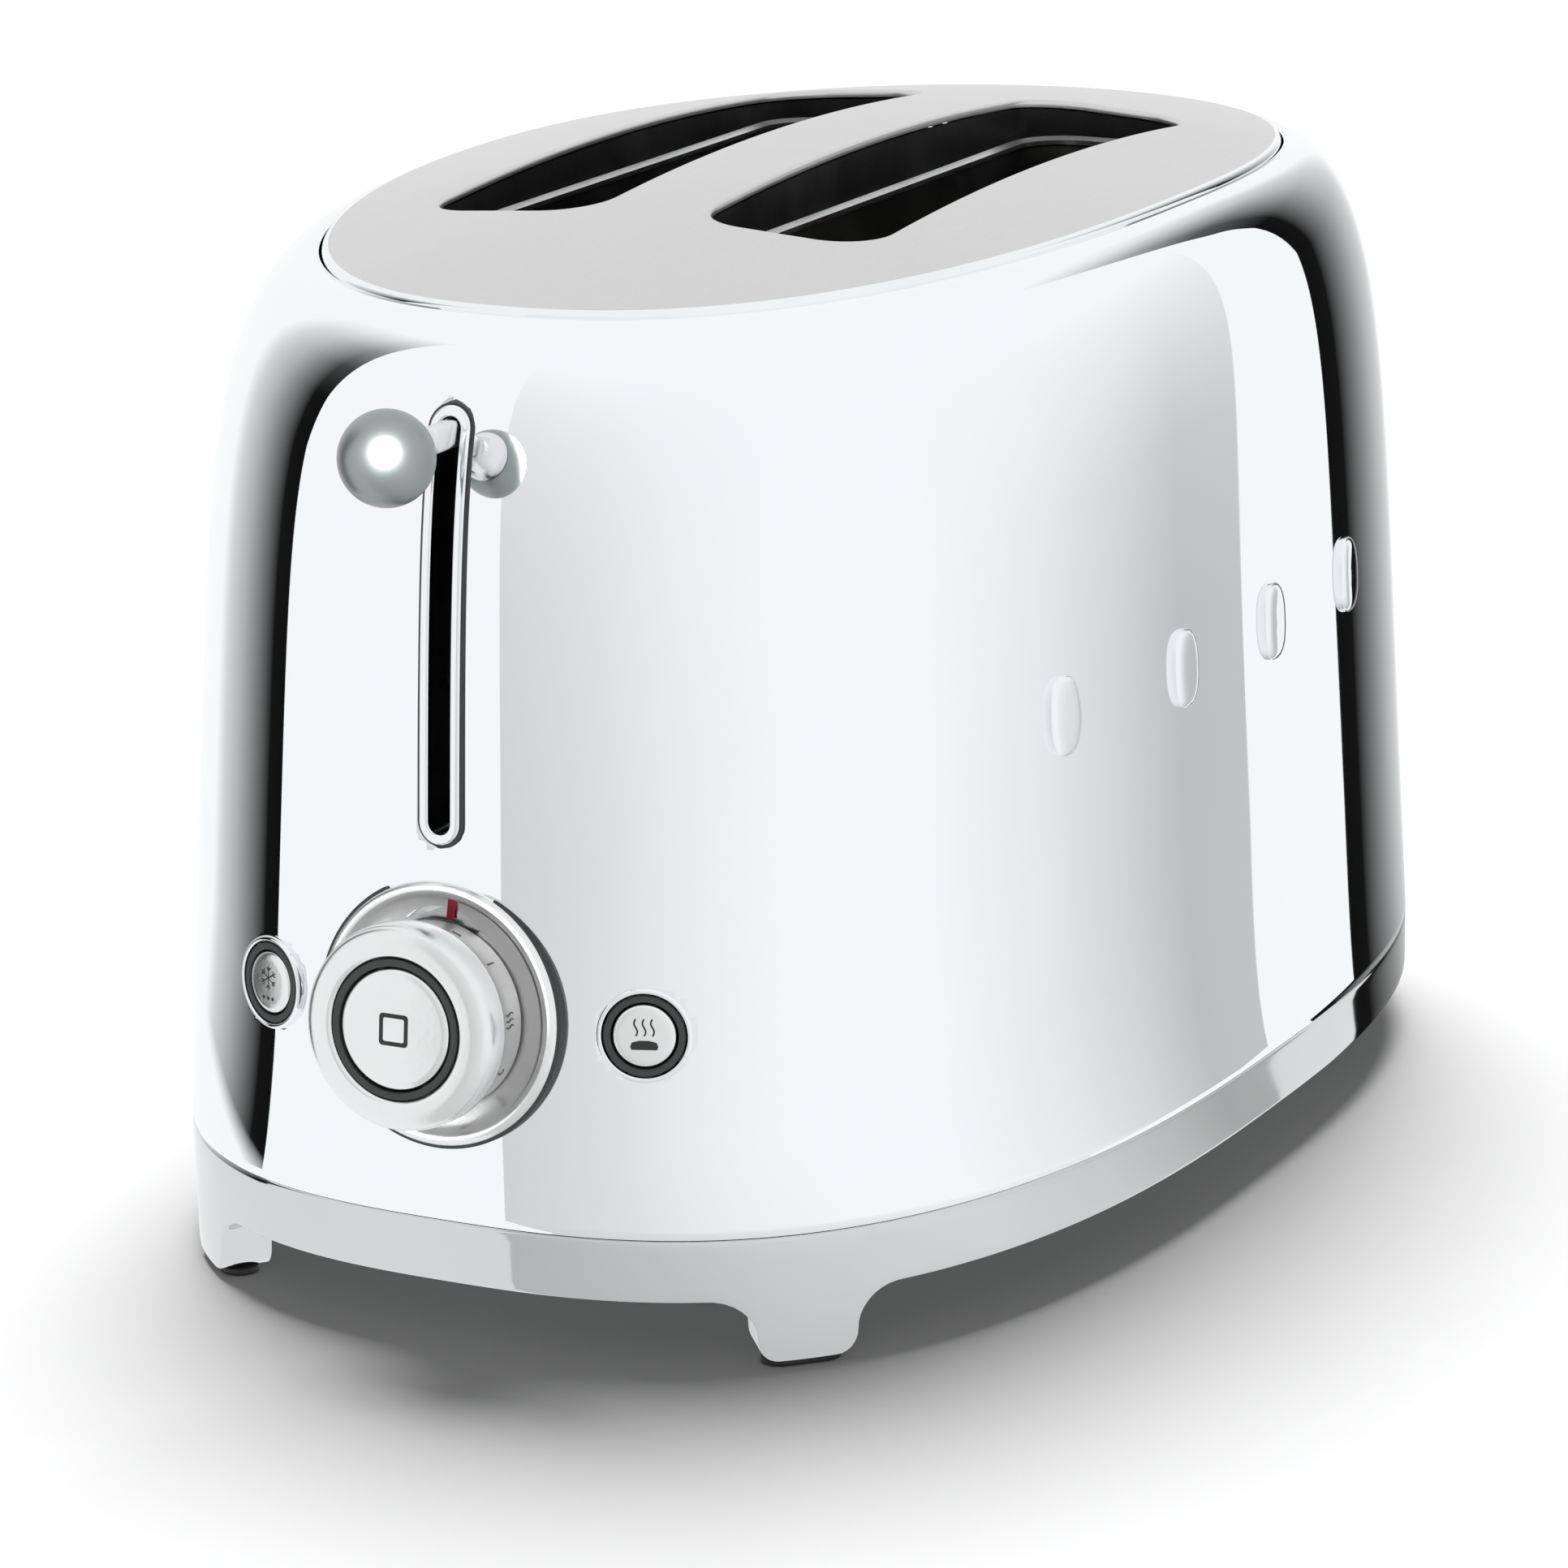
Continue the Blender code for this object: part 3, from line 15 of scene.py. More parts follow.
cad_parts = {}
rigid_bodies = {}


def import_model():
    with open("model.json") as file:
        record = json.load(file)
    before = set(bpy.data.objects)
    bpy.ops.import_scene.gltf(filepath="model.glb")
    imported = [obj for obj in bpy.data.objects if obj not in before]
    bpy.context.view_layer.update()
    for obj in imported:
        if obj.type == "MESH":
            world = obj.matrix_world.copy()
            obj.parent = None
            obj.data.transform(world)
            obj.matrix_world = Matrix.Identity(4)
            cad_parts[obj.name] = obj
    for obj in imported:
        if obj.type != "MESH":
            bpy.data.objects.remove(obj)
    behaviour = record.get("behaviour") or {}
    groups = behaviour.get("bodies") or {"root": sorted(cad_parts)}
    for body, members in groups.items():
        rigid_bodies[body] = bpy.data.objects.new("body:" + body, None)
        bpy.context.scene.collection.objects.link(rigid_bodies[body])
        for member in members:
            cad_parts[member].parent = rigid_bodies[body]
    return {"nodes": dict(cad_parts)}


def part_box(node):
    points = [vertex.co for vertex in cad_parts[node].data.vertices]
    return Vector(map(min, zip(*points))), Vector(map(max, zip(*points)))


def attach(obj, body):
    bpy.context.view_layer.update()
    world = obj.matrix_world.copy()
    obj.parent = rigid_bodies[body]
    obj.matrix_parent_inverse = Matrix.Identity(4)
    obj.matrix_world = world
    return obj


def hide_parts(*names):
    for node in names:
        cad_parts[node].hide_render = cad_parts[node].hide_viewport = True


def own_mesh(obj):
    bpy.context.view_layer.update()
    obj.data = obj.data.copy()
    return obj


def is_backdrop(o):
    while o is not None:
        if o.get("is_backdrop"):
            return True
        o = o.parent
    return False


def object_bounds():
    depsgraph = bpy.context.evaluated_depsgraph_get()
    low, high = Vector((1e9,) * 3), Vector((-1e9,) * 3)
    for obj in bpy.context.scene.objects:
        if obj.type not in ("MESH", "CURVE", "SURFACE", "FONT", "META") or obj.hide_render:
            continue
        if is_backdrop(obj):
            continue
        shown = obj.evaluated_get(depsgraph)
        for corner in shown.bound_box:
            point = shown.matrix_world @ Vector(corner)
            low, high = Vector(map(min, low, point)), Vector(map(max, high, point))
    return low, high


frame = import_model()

cad_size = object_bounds()
MM = 0.001
ring_low, ring_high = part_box("base_ring")
plate_low, plate_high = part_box("top_plate")
SHELL_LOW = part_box("body_shell")[0].z
MIDDLE = (ring_low.x + ring_high.x) / 2

# %% [markdown]
# The camera stands a little over a metre away with a long lens, so that the toaster's
# lines stay nearly parallel, as in a catalogue. It looks at the lever end and the front
# side. A camera looks along its own -Z axis, so its matrix is built from the three
# directions right, up and back.

# %% Camera
def look(yaw, pitch, roll):
    """Right, up and forward directions of a camera, from three angles in degrees."""
    yaw, pitch, roll = (math.radians(a) for a in (yaw, pitch, roll))
    forward = Vector((math.cos(pitch) * math.cos(yaw), math.cos(pitch) * math.sin(yaw), math.sin(pitch)))
    right = forward.cross(Vector((0, 0, 1))).normalized()
    up = right.cross(forward)
    return (right * math.cos(roll) + up * math.sin(roll),
            up * math.cos(roll) - right * math.sin(roll), forward)


right, up, forward = look(26.908, -15.302, -0.605)
lens = bpy.data.cameras.new("long_lens")
lens.lens = 146.55
lens.sensor_width = 36
lens.clip_end = 60
camera = bpy.data.objects.new("camera", lens)
camera.matrix_world = Matrix((right, up, -forward)).transposed().to_4x4()
camera.location = (-1.092264, -0.549357, 0.404472)
bpy.context.scene.collection.objects.link(camera)
bpy.context.scene.camera = camera
print("camera at", tuple(round(v, 3) for v in camera.location))

# %% [markdown]
# Every finish below is a Principled shader with a few nodes in front of it. Effects that
# several finishes share are node groups, built once: smudges that change the gloss, fine
# grain in one direction, small ripples in paint, worn edges and settled dust. A group
# only hands out values and masks. The shader itself stays in each material.

# %% Node helpers
def node(tree, kind, place=(0, 0), **settings):
    made = tree.nodes.new(kind)
    made.location = place
    for key, value in settings.items():
        setattr(made, key, value)
    return made


def fill(made, **values):
    """Sets unlinked inputs by name, with _ for a space."""
    for key, value in values.items():
        made.inputs[key.replace("_", " ")].default_value = value
    return made


def link(tree, source, output, target, socket):
    tree.links.new(source.outputs[output], target.inputs[socket])


def effect(name, inputs, outputs):
    """A new node group with named sockets: (name, kind, default) and (name, kind)."""
    tree = bpy.data.node_groups.new(name, "ShaderNodeTree")
    for label, kind, default in inputs:
        tree.interface.new_socket(name=label, in_out="INPUT", socket_type=kind).default_value = default
    for label, kind in outputs:
        tree.interface.new_socket(name=label, in_out="OUTPUT", socket_type=kind)
    return tree, node(tree, "NodeGroupInput", (-900, 0)), node(tree, "NodeGroupOutput", (600, 0))


FLOAT = "NodeSocketFloat"

# %% Smudged gloss
smudges, told, given = effect("smudged_gloss", [("Size", FLOAT, 25.0), ("Low", FLOAT, 0.04),
                                                ("High", FLOAT, 0.1)],
                              [("Roughness", FLOAT), ("Mask", FLOAT)])
where = node(smudges, "ShaderNodeTexCoord", (-900, 300))
cloud = fill(node(smudges, "ShaderNodeTexNoise", (-600, 200)), Detail=6.0, Roughness=0.62, Distortion=0.6)
spread = fill(node(smudges, "ShaderNodeMapRange", (-300, 200), interpolation_type="SMOOTHSTEP"),
              From_Min=0.38, From_Max=0.72)
scaled = node(smudges, "ShaderNodeMapRange", (0, 0))
link(smudges, where, "Object", cloud, "Vector")
link(smudges, told, "Size", cloud, "Scale")
link(smudges, cloud, "Fac", spread, "Value")
link(smudges, spread, "Result", scaled, "Value")
link(smudges, told, "Low", scaled, "To Min")
link(smudges, told, "High", scaled, "To Max")
link(smudges, scaled, "Result", given, "Roughness")
link(smudges, spread, "Result", given, "Mask")

# %% Brushed grain
grain, told, given = effect("brushed_grain", [("Along", FLOAT, 6.0), ("Across", FLOAT, 1400.0)],
                            [("Height", FLOAT), ("Tone", FLOAT)])
where = node(grain, "ShaderNodeTexCoord", (-1200, 200))
stretch = node(grain, "ShaderNodeCombineXYZ", (-1000, 0))
turned_to = node(grain, "ShaderNodeVectorMath", (-800, 200), operation="MULTIPLY")
lines = fill(node(grain, "ShaderNodeTexNoise", (-500, 200)), Scale=1.0, Detail=3.0, Roughness=0.7)
patches = fill(node(grain, "ShaderNodeTexNoise", (-500, -100)), Scale=14.0, Detail=2.0)
both = node(grain, "ShaderNodeMath", (-200, 0), operation="MULTIPLY_ADD")
link(grain, told, "Along", stretch, "X")
link(grain, told, "Across", stretch, "Y")
link(grain, told, "Across", stretch, "Z")
link(grain, where, "Object", turned_to, 0)
link(grain, stretch, "Vector", turned_to, 1)
link(grain, turned_to, "Vector", lines, "Vector")
link(grain, where, "Object", patches, "Vector")
link(grain, patches, "Fac", both, 0)
both.inputs[1].default_value = 0.35
link(grain, lines, "Fac", both, 2)
link(grain, lines, "Fac", given, "Height")
link(grain, both, "Value", given, "Tone")

# %% Rippled coat
ripples, told, given = effect("rippled_coat", [("Size", FLOAT, 700.0)], [("Height", FLOAT), ("Tone", FLOAT)])
where = node(ripples, "ShaderNodeTexCoord", (-900, 200))
fine = fill(node(ripples, "ShaderNodeTexNoise", (-600, 200)), Detail=2.0, Roughness=0.5)
broad = fill(node(ripples, "ShaderNodeTexNoise", (-600, -100)), Scale=40.0, Detail=3.0)
link(ripples, where, "Object", fine, "Vector")
link(ripples, where, "Object", broad, "Vector")
link(ripples, told, "Size", fine, "Scale")
link(ripples, fine, "Fac", given, "Height")
link(ripples, broad, "Fac", given, "Tone")

# %% Worn edges
wear, told, given = effect("worn_edges", [("Reach", FLOAT, 0.06), ("Strength", FLOAT, 0.6)],
                           [("Mask", FLOAT)])
shape = node(wear, "ShaderNodeNewGeometry", (-900, 200))
where = node(wear, "ShaderNodeTexCoord", (-900, -200))
edge_end = node(wear, "ShaderNodeMath", (-700, 0), operation="ADD")
edge_end.inputs[0].default_value = 0.5
bright = fill(node(wear, "ShaderNodeMapRange", (-500, 200), interpolation_type="SMOOTHSTEP"), From_Min=0.5)
chips = fill(node(wear, "ShaderNodeTexNoise", (-600, -200)), Scale=320.0, Detail=4.0, Roughness=0.7)
broken = node(wear, "ShaderNodeMath", (-200, 0), operation="MULTIPLY")
much = node(wear, "ShaderNodeMath", (100, 0), operation="MULTIPLY", use_clamp=True)
link(wear, told, "Reach", edge_end, 1)
link(wear, shape, "Pointiness", bright, "Value")
link(wear, edge_end, "Value", bright, "From Max")
link(wear, where, "Object", chips, "Vector")
link(wear, bright, "Result", broken, 0)
link(wear, chips, "Fac", broken, 1)
link(wear, broken, "Value", much, 0)
link(wear, told, "Strength", much, 1)
link(wear, much, "Value", given, "Mask")

# %% Settled dust
dust, told, given = effect("settled_dust", [("Amount", FLOAT, 0.2), ("Size", FLOAT, 240.0)],
                           [("Mask", FLOAT)])
shape = node(dust, "ShaderNodeNewGeometry", (-900, 200))
where = node(dust, "ShaderNodeTexCoord", (-900, -200))
facing = node(dust, "ShaderNodeSeparateXYZ", (-700, 200))
upward = fill(node(dust, "ShaderNodeMapRange", (-500, 200)), From_Min=0.2, From_Max=1.0)
specks = fill(node(dust, "ShaderNodeTexNoise", (-600, -200)), Detail=5.0, Roughness=0.75)
settled = node(dust, "ShaderNodeMath", (-200, 0), operation="MULTIPLY")
amount = node(dust, "ShaderNodeMath", (100, 0), operation="MULTIPLY", use_clamp=True)
link(dust, shape, "Normal", facing, "Vector")
link(dust, facing, "Z", upward, "Value")
link(dust, where, "Object", specks, "Vector")
link(dust, told, "Size", specks, "Scale")
link(dust, upward, "Result", settled, 0)
link(dust, specks, "Fac", settled, 1)
link(dust, settled, "Value", amount, 0)
link(dust, told, "Amount", amount, 1)
link(dust, amount, "Value", given, "Mask")
print("effects:", [g.name for g in bpy.data.node_groups])

# %% [markdown]
# A finish is put together from those effects by one function. It mixes the base colour
# with a second tone, with bare worn edges and with dust, takes its gloss from the
# smudges, and its relief from grain or ripples. Each finish then only states its own
# colours and amounts.

# %% Finish maker
def use(tree, group, place, **values):
    made = node(tree, "ShaderNodeGroup", place, node_tree=group)
    return fill(made, **values)


def mix_colour(tree, factor, first, second, place):
    """A colour mix; first is a colour or an output, second a colour."""
    mixed = node(tree, "ShaderNodeMix", place, data_type="RGBA")
    tree.links.new(factor, mixed.inputs[0])
    if isinstance(first, tuple):
        mixed.inputs[6].default_value = (*first, 1)
    else:
        tree.links.new(first, mixed.inputs[6])
    mixed.inputs[7].default_value = (*second, 1)
    return mixed.outputs[2]


def finish(name, colour, tone, gloss, metallic=0.0, relief="ripples", size=600.0, depth=0.02,
           smudge=25.0, worn=None, wear_strength=0.5, dusty=0.0, shader_values=None):
    """A finish: two tones, (low, high) gloss, relief, worn edges and dust."""
    made = bpy.data.materials.new(name)
    made.use_nodes = True
    tree = made.node_tree
    shader = tree.nodes["Principled BSDF"]
    marks = use(tree, smudges, (-900, -100), Size=smudge, Low=gloss[0], High=gloss[1])
    if relief == "grain":
        rough = use(tree, grain, (-900, -400), Across=size)
    else:
        rough = use(tree, ripples, (-900, -400), Size=size)
    shown = mix_colour(tree, rough.outputs["Tone"], colour, tone, (-600, 300))
    if worn:
        edges = use(tree, wear, (-900, 300), Strength=wear_strength)
        shown = mix_colour(tree, edges.outputs["Mask"], shown, worn, (-400, 300))
    if dusty:
        film = use(tree, dust, (-900, 600), Amount=dusty)
        shown = mix_colour(tree, film.outputs["Mask"], shown, (0.62, 0.6, 0.57), (-200, 300))
    bump = fill(node(tree, "ShaderNodeBump", (-300, -400)), Strength=depth, Distance=0.001)
    link(tree, rough, "Height", bump, "Height")
    tree.links.new(shown, shader.inputs["Base Color"])
    link(tree, marks, "Roughness", shader, "Roughness")
    link(tree, bump, "Normal", shader, "Normal")
    shader.inputs["Metallic"].default_value = metallic
    for key, value in (shader_values or {}).items():
        shader.inputs[key].default_value = value
    return made


# %% [markdown]
# The shell, the ball, the rim of the plate and the bezels are nickel and chrome plated
# steel or zinc. Such plating mirrors the room, so it needs hardly any colour of its own,
# only a very low roughness that varies a little where it has been wiped. The ball alone is
# toned dark grey-green: painted shade for the darker room it mirrors towards its rim.

# %% Bright metals
mirror_chrome = finish("mirror_chrome", (0.93, 0.94, 0.95), (0.9, 0.915, 0.925), (0.012, 0.03), 1.0,
                       relief="ripples", size=9.0, depth=0.004, smudge=12.0)
small_chrome = finish("small_parts_chrome", (0.9, 0.915, 0.92), (0.86, 0.88, 0.885), (0.03, 0.07), 1.0,
                      relief="ripples", size=60.0, depth=0.006, smudge=60.0)
polished_band = finish("polished_band", (0.68, 0.68, 0.68), (0.64, 0.64, 0.645), (0.05, 0.1), 1.0,
                       relief="ripples", size=18.0, depth=0.004, smudge=30.0)
# The ball's dark grey-green tone is painted shade. It stands in for the darker room the ball mirrors towards
# its rim, and a lamp of its own lights its middle.
ball_chrome = finish("ball_chrome_painted_dark", (0.33, 0.36, 0.355), (0.27, 0.3, 0.295), (0.34, 0.4), 1.0,
                     relief="ripples", size=70.0, depth=0.004, smudge=70.0)
satin_steel = finish("satin_steel", (0.70, 0.69, 0.685), (0.62, 0.612, 0.608), (0.3, 0.36), 1.0,
                     relief="grain", size=2600.0, depth=0.05, smudge=9.0)
satin_cap = finish("satin_cap", (0.86, 0.86, 0.86), (0.8, 0.8, 0.8), (0.2, 0.27), 1.0,
                   relief="ripples", size=900.0, depth=0.02, smudge=80.0)
wire_nickel = finish("nickel_wire", (0.62, 0.6, 0.57), (0.5, 0.48, 0.45), (0.22, 0.36), 1.0,
                     size=500.0, depth=0.04, smudge=90.0, dusty=0.1)
zinc_sheet = finish("zinc_sheet", (0.6, 0.61, 0.63), (0.47, 0.49, 0.52), (0.32, 0.48), 1.0,
                    size=260.0, depth=0.04, smudge=50.0, worn=(0.75, 0.75, 0.75))
spring_steel = finish("spring_steel", (0.42, 0.42, 0.43), (0.3, 0.3, 0.31), (0.28, 0.4), 1.0,
                      size=900.0, depth=0.03, smudge=120.0)
print("bright metals ready")

# %% [markdown]
# Inside the slots everything is dark: enamelled collars, sooty sheet, mica boards with
# flat heating wire. Below, rubber pads and moulded plastic. Their relief is coarser, and
# their edges show a little wear.

# %% Dark and dull finishes
black_enamel = finish("black_enamel", (0.018, 0.019, 0.02), (0.03, 0.031, 0.033), (0.28, 0.42),
                      size=500.0, depth=0.06, smudge=40.0, worn=(0.12, 0.12, 0.12), dusty=0.03)
oven_sheet = finish("oven_sheet", (0.12, 0.118, 0.115), (0.07, 0.069, 0.067), (0.3, 0.5), 1.0,
                    size=90.0, depth=0.05, smudge=35.0)
mica_board = finish("mica_board", (0.46, 0.4, 0.31), (0.35, 0.29, 0.21), (0.35, 0.6),
                    size=160.0, depth=0.12, smudge=45.0)
heating_wire = finish("heating_ribbon", (0.3, 0.27, 0.25), (0.2, 0.17, 0.16), (0.35, 0.55), 1.0,
                      size=700.0, depth=0.05, smudge=90.0)
dark_plastic = finish("dark_moulded_plastic", (0.05, 0.053, 0.057), (0.062, 0.066, 0.07), (0.36, 0.5),
                      size=900.0, depth=0.05, smudge=60.0)
grey_seal = finish("grey_seal", (0.055, 0.06, 0.06), (0.08, 0.085, 0.085), (0.45, 0.62),
                   size=800.0, depth=0.05, smudge=90.0)
pad_rubber = finish("pad_rubber", (0.028, 0.028, 0.028), (0.045, 0.044, 0.042), (0.7, 0.9),
                    size=900.0, depth=0.15, smudge=90.0, dusty=0.1)
silver_barrel = finish("silver_barrel", (0.72, 0.72, 0.72), (0.67, 0.67, 0.67), (0.35, 0.45), 0.25,
                       size=1200.0, depth=0.03, smudge=80.0)
black_print = finish("black_print", (0.02, 0.02, 0.02), (0.03, 0.03, 0.03), (0.4, 0.5), size=900.0,
                     depth=0.01)
red_print = finish("red_print", (0.6, 0.012, 0.05), (0.5, 0.01, 0.04), (0.35, 0.45), size=900.0, depth=0.01)
copper_wire = finish("copper_winding", (0.72, 0.36, 0.2), (0.55, 0.24, 0.12), (0.28, 0.42), 1.0,
                     relief="grain", size=4000.0, depth=0.2, smudge=60.0)
circuit_green = finish("circuit_board", (0.03, 0.16, 0.07), (0.05, 0.22, 0.1), (0.3, 0.45),
                       size=120.0, depth=0.05, smudge=60.0)
print("finishes:", len(bpy.data.materials))

# %% [markdown]
# The pieces are made by a few helpers: one joins rings of points into a skin, one turns
# a profile like a lathe, one sweeps round wire, one cuts flat shapes from sheet. Each
# piece is then placed, given its finish and tied to the working body that carries it.

# %% Piece helpers
def placed(origin, axis):
    """A matrix that stands a piece on a point, its own Z along the axis and its Y upward."""
    z = Vector(axis).normalized()
    x = Vector((0, 0, 1)).cross(z).normalized()
    y = z.cross(x)
    turn = Matrix((x, y, z)).transposed().to_4x4()
    turn.translation = Vector(origin)
    return turn


def piece(name, mesh, finishes, body="housing", stands_for=(), at=None, sharp=35):
    """A finished piece: placed, shaded smooth up to an angle, and riding on its body."""
    if isinstance(finishes, bpy.types.Material):
        finishes = (finishes,)
    for one in finishes:
        mesh.materials.append(one)
    mesh.shade_smooth()
    mesh.set_sharp_from_angle(angle=math.radians(sharp))
    made = bpy.data.objects.new(name, mesh)
    bpy.context.scene.collection.objects.link(made)
    if at is not None:
        made.matrix_world = at
    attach(made, body)
    if stands_for:
        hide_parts(*([stands_for] if isinstance(stands_for, str) else stands_for))
    return made


def skin(name, rings, loop=False, caps=False, keep=None):
    """A mesh of quads between closed rings; keep(centre) may leave a quad out."""
    mesh = bpy.data.meshes.new(name)
    bm = bmesh.new()
    rows = [[bm.verts.new(p) for p in ring] for ring in rings]
    pairs = list(zip(rows, rows[1:])) + ([(rows[-1], rows[0])] if loop else [])
    for low, high in pairs:
        for i in range(len(low)):
            j = (i + 1) % len(low)
            corners = (low[i], low[j], high[j], high[i])
            if keep is None or keep(sum((v.co for v in corners), Vector()) / 4):
                bm.faces.new(corners)
    if caps:
        bm.faces.new(list(reversed(rows[0])))
        bm.faces.new(rows[-1])
    bmesh.ops.delete(bm, geom=[v for v in bm.verts if not v.link_faces], context="VERTS")
    bmesh.ops.recalc_face_normals(bm, faces=bm.faces)
    bm.to_mesh(mesh)
    bm.free()
    return mesh


def eased(points, steps=4):
    """Rounds the corners of a profile of (radius, height, ease) by short curves."""
    made = []
    for i, point in enumerate(points):
        here, ease = Vector(point[:2]), (point[2] if len(point) > 2 else 0)
        if not ease or i in (0, len(points) - 1):
            made.append(tuple(here))
            continue
        before, after = Vector(points[i - 1][:2]) - here, Vector(points[i + 1][:2]) - here
        a = here + before.normalized() * min(ease, before.length * 0.49)
        b = here + after.normalized() * min(ease, after.length * 0.49)
        for k in range(steps + 1):
            t = k / steps
            made.append(tuple(a * (1 - t) ** 2 + here * 2 * t * (1 - t) + b * t * t))
    return made


def turned(name, profile, steps=96):
    """A lathe shape about Z. Points on the axis close it."""
    mesh = bpy.data.meshes.new(name)
    bm = bmesh.new()
    rows = []
    for radius, height in profile:
        if radius < 1e-6:
            rows.append([bm.verts.new((0, 0, height))])
        else:
            rows.append([bm.verts.new((radius * math.cos(2 * math.pi * i / steps),
                                       radius * math.sin(2 * math.pi * i / steps), height))
                         for i in range(steps)])
    for low, high in zip(rows, rows[1:]):
        for i in range(steps):
            j = (i + 1) % steps
            ring = [low[i % len(low)], low[j % len(low)], high[j % len(high)], high[i % len(high)]]
            corners = list(dict.fromkeys(ring))
            if len(corners) > 2:
                bm.faces.new(corners)
    bmesh.ops.recalc_face_normals(bm, faces=bm.faces)
    bm.to_mesh(mesh)
    bm.free()
    return mesh


def from_curve(name, splines, closed, flat=False, radius=0.0, thick=0.0, sides=3, cyclic=True):
    """Turns point lists into a mesh: round wire, or a flat filled sheet with eased edges."""
    data = bpy.data.curves.new(name, "CURVE")
    data.dimensions = "2D" if flat else "3D"
    data.fill_mode = "BOTH" if flat else "FULL"
    data.extrude = max(0.0, thick / 2 - radius) if flat else 0.0
    data.bevel_depth = radius
    data.bevel_resolution = sides
    data.use_fill_caps = not flat
    for points in splines:
        spline = data.splines.new("POLY")
        spline.points.add(len(points) - 1)
        for target, p in zip(spline.points, points):
            target.co = (p[0], p[1], p[2] if len(p) > 2 else 0, 1)
        spline.use_cyclic_u = closed
    holder = bpy.data.objects.new(name + "_path", data)
    bpy.context.scene.collection.objects.link(holder)
    ready = holder.evaluated_get(bpy.context.evaluated_depsgraph_get())
    mesh = bpy.data.meshes.new_from_object(ready)
    mesh.name = name
    bpy.data.objects.remove(holder)
    bpy.data.curves.remove(data)
    return mesh


def wire(name, splines, radius, closed=False, sides=3):
    return from_curve(name, splines, closed, radius=radius, sides=sides)


def sheet(name, outlines, thick, ease=0.15 * MM):
    return from_curve(name, outlines, True, flat=True, radius=ease, thick=thick, sides=1)


def rounded_box(name, low, high, ease, segments=3):
    """A box with rounded edges, as pressed or moulded pieces have."""
    mesh = bpy.data.meshes.new(name)
    bm = bmesh.new()
    bmesh.ops.create_cube(bm, size=1)
    low, high = Vector(low), Vector(high)
    for v in bm.verts:
        v.co = Vector([low[k] if v.co[k] < 0 else high[k] for k in range(3)])
    bmesh.ops.bevel(bm, geom=bm.edges, offset=ease, segments=segments, profile=0.5, affect="EDGES")
    bm.to_mesh(mesh)
    bm.free()
    return mesh


def joined(name, meshes):
    """Several meshes as one, each keeping its material number."""
    bm = bmesh.new()
    for mesh in meshes:
        bm.from_mesh(mesh)
    whole = bpy.data.meshes.new(name)
    bm.to_mesh(whole)
    bm.free()
    for mesh in meshes:
        bpy.data.meshes.remove(mesh)
    return whole


print("helpers ready")

# %% [markdown]
# The body is a pillow shape. In plan it is a superellipse, between an ellipse and a
# rectangle: rounder at the top opening than at the band. The wall leans in steadily and
# turns over quickly at the shoulder. A mirror shows every dent, so the skin is not cut
# with Booleans but laid as even rows of small quads, each point straight from the formula.

# %% Body curves
HALF_LENGTH = (ring_high.x - ring_low.x) / 2
HALF_WIDTH = (ring_high.y - ring_low.y) / 2
TOP_HALF_X = (plate_high.x - plate_low.x) / 2
TOP_HALF_Y = (plate_high.y - plate_low.y) / 2
CROWN_TOP = plate_high.z
BAND_POWER, TOP_POWER = 2.65, 2.2
CROWN_DROP_END, CROWN_DROP_SIDE = 10.9 * MM, 7.3 * MM
TAPER, SHOULDER = 0.316, 7.3
RIM_GAP, RIM_STEP = 0.5 * MM, 0.8 * MM


def crown(x, y):
    """Height of the top plate; x is measured from the body's middle."""
    return CROWN_TOP - CROWN_DROP_END * (x / TOP_HALF_X) ** 2 - CROWN_DROP_SIDE * (y / TOP_HALF_Y) ** 2


def plan(half_x, half_y, power, angle):
    c, s = math.cos(angle), math.sin(angle)
    return (math.copysign(half_x * abs(c) ** (2 / power), c), math.copysign(half_y * abs(s) ** (2 / power),
                                                                            s))


def body_point(angle, rise):
    """A point of the shell, from the plan angle and the share of the height."""
    foot = plan(HALF_LENGTH, HALF_WIDTH, BAND_POWER, angle)
    rim = plan(TOP_HALF_X + RIM_GAP, TOP_HALF_Y + RIM_GAP, TOP_POWER, angle)
    draw = TAPER * rise + (1 - TAPER) * (1 - math.sqrt(max(0.0, 1 - rise ** SHOULDER)))
    top = crown(*rim) - RIM_STEP
    return Vector((MIDDLE + foot[0] + (rim[0] - foot[0]) * draw, foot[1] + (rim[1] - foot[1]) * draw,
                   SHELL_LOW + (top - SHELL_LOW) * rise))


def evenly(curve, low, high, count, fine=4000):
    """Parameters at equal steps along a curve."""
    marks = [low + (high - low) * i / fine for i in range(fine + 1)]
    points = [Vector(curve(t)) for t in marks]
    run = [0.0]
    for a, b in zip(points, points[1:]):
        run.append(run[-1] + (b - a).length)
    found, k = [], 0
    for i in range(count):
        goal = run[-1] * i / (count - 1)
        while k < fine - 1 and run[k + 1] < goal:
            k += 1
        span = run[k + 1] - run[k] or 1.0
        found.append(marks[k] + (marks[k + 1] - marks[k]) * (goal - run[k]) / span)
    return found


def band_plan(angle, inset=0.0):
    x, y = plan(HALF_LENGTH - inset, HALF_WIDTH - inset, BAND_POWER, angle)
    return Vector((x, y, 0))


quarter = evenly(lambda a: band_plan(a), 0, math.pi / 2, 112)
ANGLES = (quarter[:-1] + [math.pi - a for a in reversed(quarter)][:-1]
          + [math.pi + a for a in quarter][:-1] + [2 * math.pi - a for a in reversed(quarter)][:-1])
RISES = evenly(lambda r: body_point(math.pi * 0.75, r), 0.0, 1.0, 112)
print("round the body:", len(ANGLES), "points; up the wall:", len(RISES))

# %% [markdown]
# The shell has four openings: the lever slot, the dial's hole and two button holes. They
# are left out of the quads, and the bezels and the dish cover the small steps that this
# leaves. A Solidify modifier adds the sheet's thickness inward.

